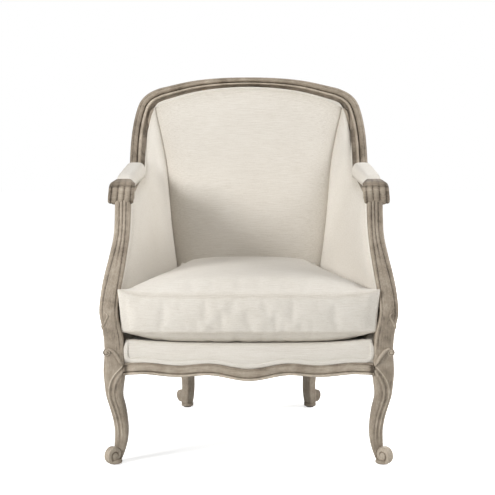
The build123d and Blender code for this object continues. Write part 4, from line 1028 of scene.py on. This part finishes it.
def arm_top_edge(count, across_share, face_offset, onto_crest=0):
    """Edge along the arm and wing, from the stump to the shoulder, and a few points on along the crest."""
    arm = rail_edge(arm_line(60), across_share, face_offset[0])[::-1]
    blend = face_offset[1] + (face_offset[0] - face_offset[1]) * np.linspace(0, 1, 60)[:, None] ** 3
    wing = rail_edge(wing_line(60), across_share, blend)[::-1]
    path, across, face, width = crest_line(401)
    crest = path + across * (across_share * width[:, None] / 2) + face * face_offset[1]
    return resample(np.concatenate([arm[8:], wing[1:], crest[-2 : -2 - onto_crest : -1]]), count)


def stump_edge(count, share_x, share_y, low, high):
    """Edge up the right stump at shares of its half width and depth, between two heights."""
    curve = smooth_path(STUMP_CURVE, 200)
    z = np.linspace(low, high, count)
    x, y, w, d = (np.interp(z, curve[:, 0], curve[:, i]) for i in (1, 2, 3, 4))
    return np.stack([LEG_X + x + share_x * w / 2, LEG_Y + y + share_y * d / 2, z], axis=-1)


def inside_arm_edges():
    """Bottom, top, front and rear edges of the right inside arm."""
    top = arm_top_edge(120, -1.0, (0.013, -0.003), 12)
    tip = np.clip(np.linspace(-3, 1, 120), 0, 1) ** 2
    top = top + np.outer(tip, [0.0, -0.016, 0.002])
    rear = seam_edge(90)
    rear = rear + np.linspace(0, 1, 90)[:, None] ** 3 * (top[-1] - rear[-1])
    front = stump_edge(90, -0.93, 0.86, 0.302, 0.656)
    front = np.concatenate([front[:-1], top[:1]])
    bottom = np.linspace(front[0], rear[0], 120)
    return bottom, top, front, rear


def trim_tube(name, path, outward, width, height):
    """Flat self-fabric trim: an oval profile, width by height, along a path, its face turned outward."""
    path = resample(np.asarray(path), 220)
    face = np.broadcast_to(np.asarray(outward, float), path.shape)
    along = unit(np.gradient(path, axis=0))
    face = unit(face - along * np.sum(along * face, axis=1, keepdims=True))
    across = np.cross(along, face)
    ring = np.linspace(0, 2 * np.pi, 20, endpoint=False)
    flat = np.sign(np.cos(ring)) * np.abs(np.cos(ring)) ** 0.7
    profile = np.stack([width / 2 * flat, height / 2 * np.sin(ring)], axis=-1)
    share = np.linspace(0, 1, len(path))
    fade = np.clip(np.minimum(share, 1 - share) / 0.03, 0.1, 1)[:, None, None]
    grid = carry(path, across, face, profile[None] * fade)
    # Painted shade along both edges of the trim
    shade = np.where(np.abs(np.cos(ring)) > 0.85, -0.7, 0.1)
    return sleeve(name, grid, np.broadcast_to(shade, grid.shape[:2]))


class BERGERE_OT_inside_covers(bpy.types.Operator):
    """Upholsters the inside back and inside arms over their padding"""

    bl_idname = "bergere.inside_covers"
    bl_label = "Inside back and arms"

    def execute(self, context):
        looks = context.scene.bergere
        right = seam_edge(120)
        top = crest_inner_edge(401)
        top = resample(top[11:-11], 160)
        right = right + np.linspace(0, 1, 120)[:, None] ** 3 * (top[-1] - right[-1])
        tuck = np.sin(np.linspace(0.5, 1, 120) * np.pi)[:, None]
        right = right + np.array([0.014, 0.006, 0.0]) * tuck
        left = mirrored(right)
        bottom = np.linspace(left[0], right[0], 160)
        base = coons(bottom, top, left, right)
        lift = rolled(160, 0.16)[None] * np.concatenate([np.ones(60), rolled(120, 0.11)[60:]])[:, None]
        swell = (1 - np.linspace(-1, 1, 160)[None] ** 2) * 0.35 + 0.65
        forward = unit(np.array([0.0, -1.0, BACK_SLOPE]))
        front = base + forward * (lift * swell * looks.back_crown)[..., None]
        front = front - forward * ((1 - lift) * 0.010 * np.linspace(1, 0.3, 120)[:, None])[..., None]
        # Painted shade where the padding rolls in at its edges, and the whole back painted a little darker
        back = pillow("inside_back_cover", front, -forward, 0.020, (lift - 1) * 0.8 - 0.15)
        upholster(back, "X", ["inside_back"])
        bottom, top, front_edge, rear = inside_arm_edges()
        base = coons(bottom, top, front_edge, rear)
        normal = surface_normals(base)
        normal = normal * np.where(normal @ np.array([-0.6, -0.8, 0.0]) < 0, -1, 1)[..., None]
        lift = rolled(120, 0.09)[None] * np.concatenate([np.ones(45), rolled(90, 0.10)[45:]])[:, None]
        cover = base + normal * (lift * looks.arm_crown - (1 - lift) * 0.003)[..., None]
        for side, place in SIDES:
            # Painted shade where the padding rolls in at its edges
            piece = pillow(f"inside_arm_cover_{side}", place(cover), place(-normal), 0.014, (lift - 1) * 0.8)
            upholster(piece, "Y", [f"inside_arm_{side}"])
        return {"FINISHED"}


class BERGERE_OT_outside_covers(bpy.types.Operator):
    """Stretches the outside arms and the outside back, and lays the deck"""

    bl_idname = "bergere.outside_covers"
    bl_label = "Outside covers"

    def execute(self, context):
        rear_line = smooth_path(OUTSIDE_REAR, 90)
        top = arm_top_edge(120, 0.86, (-0.016, -0.016), 10)
        front = stump_edge(90, 0.80, 0.84, 0.290, 0.655)
        front = np.concatenate([front[:-1], top[:1]])
        rear = np.concatenate([resample(rear_line[rear_line[:, 2] > 0.289][:-1], 89), top[-1:]])
        bottom = np.linspace(front[0], rear[0], 120)
        base = coons(bottom, top, front, rear)
        normal = surface_normals(base)
        normal = normal * np.where(normal[..., 0:1] < 0, -1, 1)
        lift = rolled(120, 0.04)[None] * rolled(90, 0.05)[:, None]
        cover = base + normal * (lift * 0.004)[..., None]
        for side, place in SIDES:
            # Painted shade where the cover rolls in at its edges
            piece = pillow(f"outside_arm_cover_{side}", place(cover), place(-normal), 0.005, (lift - 1) * 0.7)
            upholster(piece, "Y", [f"outside_arm_{side}"])
        path, across, face, width = crest_line(401)
        under = path - across * (width[:, None] / 2 - 0.006) - face * (CREST_DEPTH / 2 - 0.004)
        under = resample(under[12:-12], 140)
        right = np.concatenate([rear_line[:-1], under[-1:]]) + np.array([0.0, 0.002, 0.0])
        left = mirrored(right)
        base = coons(np.linspace(left[0], right[0], 140), under, left, right)
        lift = rolled(140, 0.04)[None] * rolled(90, 0.04)[:, None]
        cover = base + np.array([0.0, 1.0, -0.1]) * (lift * 0.005)[..., None]
        # Painted shade where the cover rolls in at its edges
        back = pillow("outside_back_cover", cover, np.array([0.0, -1.0, 0.1]), 0.005, (lift - 1) * 0.7)
        upholster(back, "X", ["outside_back"])
        v, u = np.meshgrid(np.linspace(0, 1, 60), np.linspace(-1, 1, 80), indexing="ij")
        x = u * (DECK_FRONT_X + (DECK_REAR_X - DECK_FRONT_X) * v)
        y = DECK_FRONT_Y + (DECK_REAR_Y - DECK_FRONT_Y) * v
        deck = np.stack([x, y, deck_level(x, y) - 0.001], axis=-1)
        upholster(pillow("deck_cover", deck, -UP, 0.008), "X", ["seat_deck"])
        return {"FINISHED"}


class BERGERE_OT_linings(bpy.types.Operator):
    """Hangs the dust cover, the hessian over the springs, the back webbing and the zip's tape"""

    bl_idname = "bergere.linings"
    bl_label = "Linings"

    def execute(self, context):
        for name, node, slot, front, rear, half_front, half_rear, z, sag in (
            ("dust_cover_cloth", "dust_cover", "cambric", -0.307, 0.241, 0.335, 0.190, 0.2276, 0.004),
            ("hessian_cloth", "seat_hessian", "jute", -0.331, 0.140, 0.305, 0.187, 0.2960, 0.0),
        ):
            v, u = np.meshgrid(np.linspace(0, 1, 50), np.linspace(-1, 1, 60), indexing="ij")
            droop = sag * (1 - u**2) * np.sin(np.pi * v)
            half = half_front + (half_rear - half_front) * v
            grid = np.stack([u * half, front + (rear - front) * v, z - droop], axis=-1)
            cloth = pillow(name, grid, -UP, 0.0008)
            finish_piece(cloth, "chair", MATERIALS[slot], [node])
        rise = np.array([0.0, WEBBING_TOP[0] - WEBBING_FOOT[0], WEBBING_TOP[1] - WEBBING_FOOT[1]])
        for index, strap in enumerate(("left", "middle", "right")):
            u, v = np.meshgrid(np.linspace(-1, 1, 9), np.linspace(0, 1, 60))
            x = (index - 1) * WEBBING_PITCH + u * WEBBING_WIDTH / 2
            grid = np.stack([x, WEBBING_FOOT[0] + rise[1] * v, WEBBING_FOOT[1] + rise[2] * v], axis=-1)
            web = pillow(f"webbing_{strap}", grid, REAR, 0.0016)
            finish_piece(web, "chair", MATERIALS["jute"], ["back_webbing"] if index == 1 else ())
        x, z = np.meshgrid(np.linspace(-0.174, 0.174, 120), np.linspace(0.3715, 0.3945, 8))
        grid = np.stack([x, zip_y(z), z], axis=-1)
        tape = pillow("zip_tape_cloth", grid, np.array([0.0, -1.0, BACK_SLOPE]), 0.0009)
        finish_piece(tape, "cushion", MATERIALS["linen_X"], ["zip_tape"])
        return {"FINISHED"}


def border_lines(x):
    """Lower edge, top of the upright part and face of the front border at distances from the middle."""
    wave = smooth_path(RAIL_WAVE, 400)
    bow = smooth_path(RAIL_BOW, 400)
    low = np.interp(x, wave[:, 0], wave[:, 1]) + RAIL_BAND - 0.002
    face = np.interp(x, bow[:, 0], bow[:, 1]) * 0.35 - 0.354 * 0.65 + 0.0035
    top = deck_level(x, DECK_FRONT_Y) - 0.012 + 0.006 * np.abs(x / 0.300) ** 4
    return low, top, face


def border_y(x, z):
    """Face of the front border at a distance from the middle and a height."""
    low, top, face = border_lines(x)
    rise = np.clip((z - low) / (top - low), 0, 1)
    roll = np.arcsin(np.clip((z - top) / 0.0105, 0, 0.95))
    return face - 0.0035 * np.sin(np.pi * rise) + 0.0105 * (1 - np.cos(roll))


class BERGERE_OT_front_border(bpy.types.Operator):
    """Pads the front border between the rail and the cushion"""

    bl_idname = "bergere.front_border"
    bl_label = "Front border"

    def execute(self, context):
        x = np.linspace(-0.3125, 0.3125, 220)
        low, top, face = border_lines(x)
        t = np.linspace(0, 1, 70)
        roll = np.radians(np.clip((t - 0.62) / 0.38, 0, 1) * 115)
        out = 0.0035 * np.sin(np.clip(t / 0.62, 0, 1) * np.pi) - 0.0105 * (1 - np.cos(roll))
        rise = np.clip(t / 0.62, 0, 1)
        z = low[:, None] + (top - low)[:, None] * rise[None] + 0.0105 * np.sin(roll)[None]
        draw = 1 - 0.030 * np.clip((t - 0.42) / 0.58, 0, 1) ** 2
        grid = np.stack([x[:, None] * draw[None], face[:, None] - out[None], z], axis=-1).transpose(1, 0, 2)
        # Painted shade along the lowest strip, where the border meets the rail
        shade = np.where(t < 0.05, -0.9, 0.0)[:, None] * np.ones_like(x)[None]
        border = pillow("front_border_cover", grid, REAR, 0.010, shade)
        upholster(border, "X", ["front_border"])
        return {"FINISHED"}


class BERGERE_OT_arm_pads(bpy.types.Operator):
    """Stuffs the arm-top pads: a domed section that closes at both ends"""

    bl_idname = "bergere.arm_pads"
    bl_label = "Arm pads"

    def execute(self, context):
        path, across, face = arm_line(140)
        t = np.linspace(0, 1, 110)
        take = np.linspace(4, 128, 110)
        lines = [
            np.stack([np.interp(take, np.arange(140), part[:, i]) for i in range(3)], axis=-1)
            for part in (path, across, face)
        ]
        ends = np.clip(1 - np.abs(2 * t - 1) ** 14, 0, 1) ** 0.5
        turn = np.linspace(0, np.pi, 40)
        lines[0] = lines[0] - np.outer(0.005 * (1 - t), [1, 0, 0])
        dome = np.stack([np.sign(np.cos(turn)) * np.abs(np.cos(turn)) ** 0.5, np.sin(turn) ** 0.55], axis=-1)
        half = (0.0212 + 0.0018 * np.sin(t * np.pi * 0.75 + 0.2) + 0.005 * (1 - t)) * (0.75 + 0.25 * ends)
        tall = 0.0345 * ends * (1.24 - 0.40 * t)
        base = ARM_DEPTH / 2 - 0.009
        profile = np.stack([dome[None, :, 0] * half[:, None], base + dome[None, :, 1] * tall[:, None]], axis=-1)
        under = np.stack([np.linspace(-0.9, 0.9, 12)[None] * half[:, None], np.full((110, 12), base)], axis=-1)
        grid = carry(*lines, np.concatenate([profile, under], axis=1))
        # Painted shade on the pad's lower sides and underside
        shade = np.concatenate([np.where(dome[:, 1] < 0.2, -0.7, 0.0), np.full(12, -0.7)])
        for side, place in SIDES:
            pad = sleeve(f"arm_top_pad_{side}", place(grid), shade[None])
            upholster(pad, "Y", [f"arm_pad_{side}"])
        return {"FINISHED"}


class BERGERE_OT_trim(bpy.types.Operator):
    """Sews the self-fabric trim along the edges of the show-wood"""

    bl_idname = "bergere.trim"
    bl_label = "Trim"

    def execute(self, context):
        looks = context.scene.bergere
        _, top, front, _ = inside_arm_edges()
        crest = crest_inner_edge(401)[12:-12]
        crest = crest + unit(np.array([0.0, -1.0, 0.2])) * 0.004
        wave = smooth_path(RAIL_WAVE, 200)
        low = wave[np.abs(wave[:, 0]) < 0.292] + np.array([0.0, RAIL_BAND + 0.006])
        end = smooth_path(BORDER_END, 40)
        flat = np.concatenate([end, low, end[::-1] * [-1, 1]])
        border = np.stack([flat[:, 0], border_y(flat[:, 0], flat[:, 1]) - 0.0013, flat[:, 1]], axis=-1)
        pieces = [
            ("crest_trim", crest - np.array([0.0, 0.0, 0.004]), (0.0, -1.0, -0.2), "X"),
            ("front_trim", border, (0.0, -1.0, 0.0), "X"),
        ]
        inner = top[:-12] + np.array([-0.001, 0.0, -0.002])
        rise = front[10:] + np.array([-0.002, 0.001, 0.0])
        outer = arm_top_edge(200, 0.88, (-0.020, -0.020), 10) + np.array([0.002, 0.0, -0.004])
        outside_front = stump_edge(80, 0.86, 0.92, 0.292, 0.650) + np.array([0.0, 0.004, 0.0])
        for side, place in SIDES:
            turn = 1 if side == "right" else -1
            pieces += [
                (f"inside_arm_trim_{side}", place(inner), (-turn, -0.5, 0.3), "Y"),
                (f"stump_trim_{side}", place(rise), (-turn, -0.4, 0.0), "Y"),
                (f"outside_arm_trim_{side}", place(outer), (turn, 0.0, 0.2), "Y"),
                (f"outside_front_trim_{side}", place(outside_front), (turn, 0.3, 0.0), "Y"),
            ]
        for name, path, outward, axis in pieces:
            width = looks.trim_width * (0.4 if "inside_arm" in name else 1.0)
            upholster(trim_tube(name, path, outward, width, looks.trim_height), axis)
        return {"FINISHED"}


# Loose seat cushion
CUSHION_FRONT_Y, CUSHION_FRONT_X, CUSHION_REAR_X = -0.349, 0.3300, 0.190
LOWER_SEAM, UPPER_SEAM = 0.336, 0.427
SETTLE_FRAMES, SETTLE_LIMIT = 20, 0.008  # length of the simulation, and the furthest a point may move


def cushion_plan(u, v, z):
    """Plan of the cushion: u across from -1 to 1, v from front to rear 0 to 1, at height z."""
    rear_y = back_y(z) - 0.0215
    y = CUSHION_FRONT_Y + (rear_y - CUSHION_FRONT_Y) * v
    half = CUSHION_FRONT_X + (CUSHION_REAR_X - CUSHION_FRONT_X) * v - 0.004 * np.sin(np.pi * v)
    half = half - 0.009 * (UPPER_SEAM - z) / (UPPER_SEAM - LOWER_SEAM) * (1 - v)
    bow = 0.007 * (1 - u**2) * (1 - v) ** 2
    return u * half, y - bow


def cushion_sheets(crown):
    """Top sheet, underside and boxing of the cushion, which points lie on its seams, and which are held.

    The top is a dome, cubic across and flatter from front to rear, the underside follows the deck inside
    a rounded edge and lifts at the front corners, and the boxing swells out between its two seams.
    """
    nu, nv, nz = 64, 54, 14
    u, v = np.meshgrid(np.linspace(-1, 1, nu), np.linspace(0, 1, nv), indexing="ij")
    edge = (1 - u**6) * (1 - (2 * v - 1) ** 6)
    dome = np.clip(1 - np.abs(u) ** 3, 0, 1) ** 0.52 * np.clip(1 - (2 * v - 1) ** 6, 0, 1) ** 0.48
    top_z = UPPER_SEAM + crown * dome * (0.86 + 0.14 * np.sin(np.pi * v))
    fall = np.clip(edge * 1.9, 0, 1) ** 0.5 * (1 - 0.8 * u**4 * (1 - v) ** 3)
    low_z = LOWER_SEAM - (LOWER_SEAM - deck_level(*cushion_plan(u, v, LOWER_SEAM)) - 0.0008) * fall
    corner = np.abs(u * (2 * v - 1)) ** 9
    top_z = top_z + 0.023 * corner
    sheets = []
    for z, seam in ((top_z, UPPER_SEAM), (low_z, LOWER_SEAM)):
        x, y = cushion_plan(u, v, np.full_like(u, seam))
        sheets.append(np.stack([x, y, z], axis=-1))
    rim = np.concatenate(
        [
            np.arange(nu) * nv,
            (nu - 1) * nv + np.arange(1, nv),
            np.arange(nu - 2, -1, -1) * nv + nv - 1,
            np.arange(nv - 2, 0, -1),
        ]
    )
    count = nu * nv
    top, low = sheets[0].reshape(-1, 3), sheets[1].reshape(-1, 3)
    t = np.linspace(0, 1, nz + 1)[1:-1][:, None, None]
    middle = top[rim].mean(axis=0)
    out = unit((top[rim] - middle) * [1, 1, 0])
    tight = corner.reshape(-1)[rim][None, :, None]
    swell = (0.004 - 0.006 * tight) * np.sin(np.pi * t)
    boxing = low[rim][None] * (1 - t) + top[rim][None] * t + out[None] * swell
    points = np.concatenate([low, top, boxing.reshape(-1, 3)])
    between = (2 * count + np.arange(boxing.shape[0] * len(rim))).reshape(-1, len(rim))
    rings = np.concatenate([rim[None], between, rim[None] + count])
    r, c = np.meshgrid(np.arange(nu - 1), np.arange(nv - 1), indexing="ij")
    quads = [r * nv + c, (r + 1) * nv + c, (r + 1) * nv + c + 1, r * nv + c + 1]
    sheet = np.stack(quads, axis=-1).reshape(-1, 4)
    after = np.roll(rings, -1, axis=1)
    wall = np.stack([rings[:-1], after[:-1], after[1:], rings[1:]], axis=-1).reshape(-1, 4)
    faces = np.concatenate([sheet[:, ::-1], sheet + count, wall])
    seam = np.zeros(len(points), dtype=bool)
    seam[rim] = True
    seam[rim + count] = True
    held = seam.copy()
    held[2 * count :] = np.broadcast_to(tight[..., 0] > 0.5, boxing.shape[:2]).ravel()
    return points, faces, seam, held


def settle(piece, seam, pressure):
    """Lets the cover swell under pressure with its seams held, as cloth, each point's move limited."""
    start = np.empty(len(piece.data.vertices) * 3)
    piece.data.vertices.foreach_get("co", start)
    start = start.reshape(-1, 3)
    group = piece.vertex_groups.new(name="seams")
    group.add(np.flatnonzero(seam).tolist(), 0.92, "REPLACE")
    cloth = piece.modifiers.new("Settle", "CLOTH")
    cloth.settings.quality = 5
    cloth.settings.mass = 0.3
    cloth.settings.tension_stiffness = 12
    cloth.settings.compression_stiffness = 8
    cloth.settings.shear_stiffness = 4
    cloth.settings.bending_stiffness = 0.6
    cloth.settings.use_pressure = True
    cloth.settings.uniform_pressure_force = pressure
    cloth.settings.shrink_min = -0.013
    cloth.settings.vertex_group_mass = "seams"
    cloth.settings.effector_weights.gravity = 0.0
    scene = bpy.context.scene
    for step in range(1, SETTLE_FRAMES + 1):
        scene.frame_set(step)
    settled = piece.evaluated_get(bpy.context.evaluated_depsgraph_get()).to_mesh()
    moved = np.empty(len(settled.vertices) * 3)
    settled.vertices.foreach_get("co", moved)
    piece.modifiers.remove(cloth)
    scene.frame_set(1)
    move = moved.reshape(-1, 3) - start
    length = np.linalg.norm(move, axis=1, keepdims=True)
    placed = start + move * np.minimum(1.0, SETTLE_LIMIT / np.maximum(length, 1e-9))
    placed[:, 2] = np.maximum(placed[:, 2], deck_level(placed[:, 0], placed[:, 1]) + 0.0005)
    piece.data.vertices.foreach_set("co", placed.astype(np.float32).ravel())
    piece.data.update()


def sink_zip(piece):
    """Presses the zip's pocket into the cushion's rear: points in its band go behind the tape's face."""
    points = np.empty(len(piece.data.vertices) * 3)
    piece.data.vertices.foreach_get("co", points)
    points = points.reshape(-1, 3)
    level = np.abs(points[:, 2] - ZIP_LEVEL) < 0.019
    band = level & (np.abs(points[:, 0]) < ZIP_HALF) & (points[:, 1] > 0.1)
    points[band, 1] = np.minimum(points[band, 1], zip_y(points[band, 2]) - 0.003)
    piece.data.vertices.foreach_set("co", points.astype(np.float32).ravel())
    piece.data.update()


class BERGERE_OT_cushion(bpy.types.Operator):
    """Sews, stuffs and settles the loose seat cushion, with its seams and its zip"""

    bl_idname = "bergere.cushion"
    bl_label = "Seat cushion"

    def execute(self, context):
        looks = context.scene.bergere
        points, faces, seam, held = cushion_sheets(looks.cushion_crown)
        cushion = mesh_from("seat_cushion_cover", points, faces, np.where(seam, -0.7, 0.0))
        settle(cushion, held, looks.cushion_pressure)
        sink_zip(cushion)
        smooth = cushion.modifiers.new("Subdivision", "SUBSURF")
        smooth.levels = smooth.render_levels = 1
        finish_piece(cushion, "cushion", MATERIALS["linen_X"], ["seat_cushion"])
        return {"FINISHED"}


def seen_directly(tree):
    """1 for rays from the camera, from a reflection or through glass, else 0."""
    rays = add_node(tree, "ShaderNodeLightPath").outputs
    seen = rays["Is Camera Ray"]
    for kind in ("Is Glossy Ray", "Is Transmission Ray"):
        either = add_node(tree, "ShaderNodeMath", [(seen, 0), (rays[kind], 1)], operation="MAXIMUM")
        seen = either.outputs[0]
    return seen


class BERGERE_OT_stage(bpy.types.Operator):
    """Sets the pale floor, the soft lights and the camera"""

    bl_idname = "bergere.stage"
    bl_label = "Stage"

    def execute(self, context):
        scene = context.scene
        floor = bpy.data.meshes.new("floor")
        floor.from_pydata([(-8, -8, 0), (8, -8, 0), (8, 8, 0), (-8, 8, 0)], [], [(0, 1, 2, 3)])
        floor_piece = bpy.data.objects.new("floor", floor)
        context.collection.objects.link(floor_piece)
        material = bpy.data.materials.new("Pale paper floor")
        material.use_nodes = True
        tree = material.node_tree
        tree.nodes.clear()
        paper = add_node(tree, "ShaderNodeBsdfDiffuse", Color=(*linear("#f4f4f2"), 1.0))
        # White where it is lit, with a little less glow near the chair, so that its shadow shows
        place = add_node(tree, "ShaderNodeTexCoord").outputs["Object"]
        away = add_node(tree, "ShaderNodeVectorMath", [(place, 0)], operation="LENGTH").outputs["Value"]
        glow = add_node(
            tree,
            "ShaderNodeMapRange",
            [(away, "Value"), (0.5, "From Min"), (1.6, "From Max"), (0.70, "To Min"), (1.0, "To Max")],
            interpolation_type="SMOOTHSTEP",
        )
        white = add_node(tree, "ShaderNodeEmission", [(glow.outputs["Result"], "Strength")], Color=WHITE)
        lit = add_node(tree, "ShaderNodeAddShader", [(paper.outputs[0], 0), (white.outputs[0], 1)])
        seen = seen_directly(tree)
        mix = add_node(tree, "ShaderNodeMixShader", [(seen, 0), (paper.outputs[0], 1), (lit.outputs[0], 2)])
        add_node(tree, "ShaderNodeOutputMaterial", [(mix.outputs[0], "Surface")])
        floor.materials.append(material)
        world = bpy.data.worlds.new("Studio")
        scene.world = world
        world.use_nodes = True
        tree = world.node_tree
        tree.nodes.clear()
        soft = add_node(tree, "ShaderNodeBackground", Color=WHITE, Strength=0.04)
        white = add_node(tree, "ShaderNodeBackground", Color=WHITE, Strength=1.0)
        seen = seen_directly(tree)
        mix = add_node(tree, "ShaderNodeMixShader", [(seen, 0), (soft.outputs[0], 1), (white.outputs[0], 2)])
        add_node(tree, "ShaderNodeOutputWorld", [(mix.outputs[0], "Surface")])
        for name, place, power, size in LAMPS:
            light = bpy.data.lights.new(name, "AREA")
            light.energy = power
            light.size = size
            lamp = bpy.data.objects.new(name, light)
            context.collection.objects.link(lamp)
            lamp.location = place
            lamp.rotation_euler = (LAMP_AIM - Vector(place)).to_track_quat("-Z", "Y").to_euler()
        camera = bpy.data.cameras.new("camera")
        camera.sensor_width = SENSOR_MM
        camera.lens = FOCAL_PIXELS / PHOTO_PIXELS * SENSOR_MM
        eye = bpy.data.objects.new("camera", camera)
        context.collection.objects.link(eye)
        eye.location = CAMERA_PLACE
        eye.rotation_euler = (np.radians(90.0 - CAMERA_DROP), 0.0, 0.0)
        scene.camera = eye
        scene.view_settings.view_transform = "Standard"
        return {"FINISHED"}


OPERATORS = (
    BERGERE_OT_finishes,
    BERGERE_OT_show_rails,
    BERGERE_OT_handholds,
    BERGERE_OT_legs,
    BERGERE_OT_seat_rails,
    BERGERE_OT_inside_covers,
    BERGERE_OT_outside_covers,
    BERGERE_OT_front_border,
    BERGERE_OT_arm_pads,
    BERGERE_OT_trim,
    BERGERE_OT_cushion,
    BERGERE_OT_linings,
    BERGERE_OT_stage,
)


class BERGERE_PT_panel(bpy.types.Panel):
    """Lists the chair's pieces in the sidebar"""

    bl_idname = "BERGERE_PT_panel"
    bl_label = "Bergere Armchair"
    bl_space_type = "VIEW_3D"
    bl_region_type = "UI"
    bl_category = "Bergere"

    def draw(self, context):
        for name in BergereLooks.__annotations__:
            self.layout.prop(context.scene.bergere, name)
        for operator in OPERATORS:
            self.layout.operator(operator.bl_idname)


CLASSES = (BergereLooks, *OPERATORS, BERGERE_PT_panel)


def register():
    for cls in CLASSES:
        bpy.utils.register_class(cls)
    bpy.types.Scene.bergere = bpy.props.PointerProperty(type=BergereLooks)


def unregister():
    del bpy.types.Scene.bergere
    for cls in reversed(CLASSES):
        bpy.utils.unregister_class(cls)


def main():
    """Registers the add-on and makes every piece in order."""
    register()
    for operator in OPERATORS:
        group, name = operator.bl_idname.split(".")
        getattr(getattr(bpy.ops, group), name)()


if __name__ == "__main__":
    main()
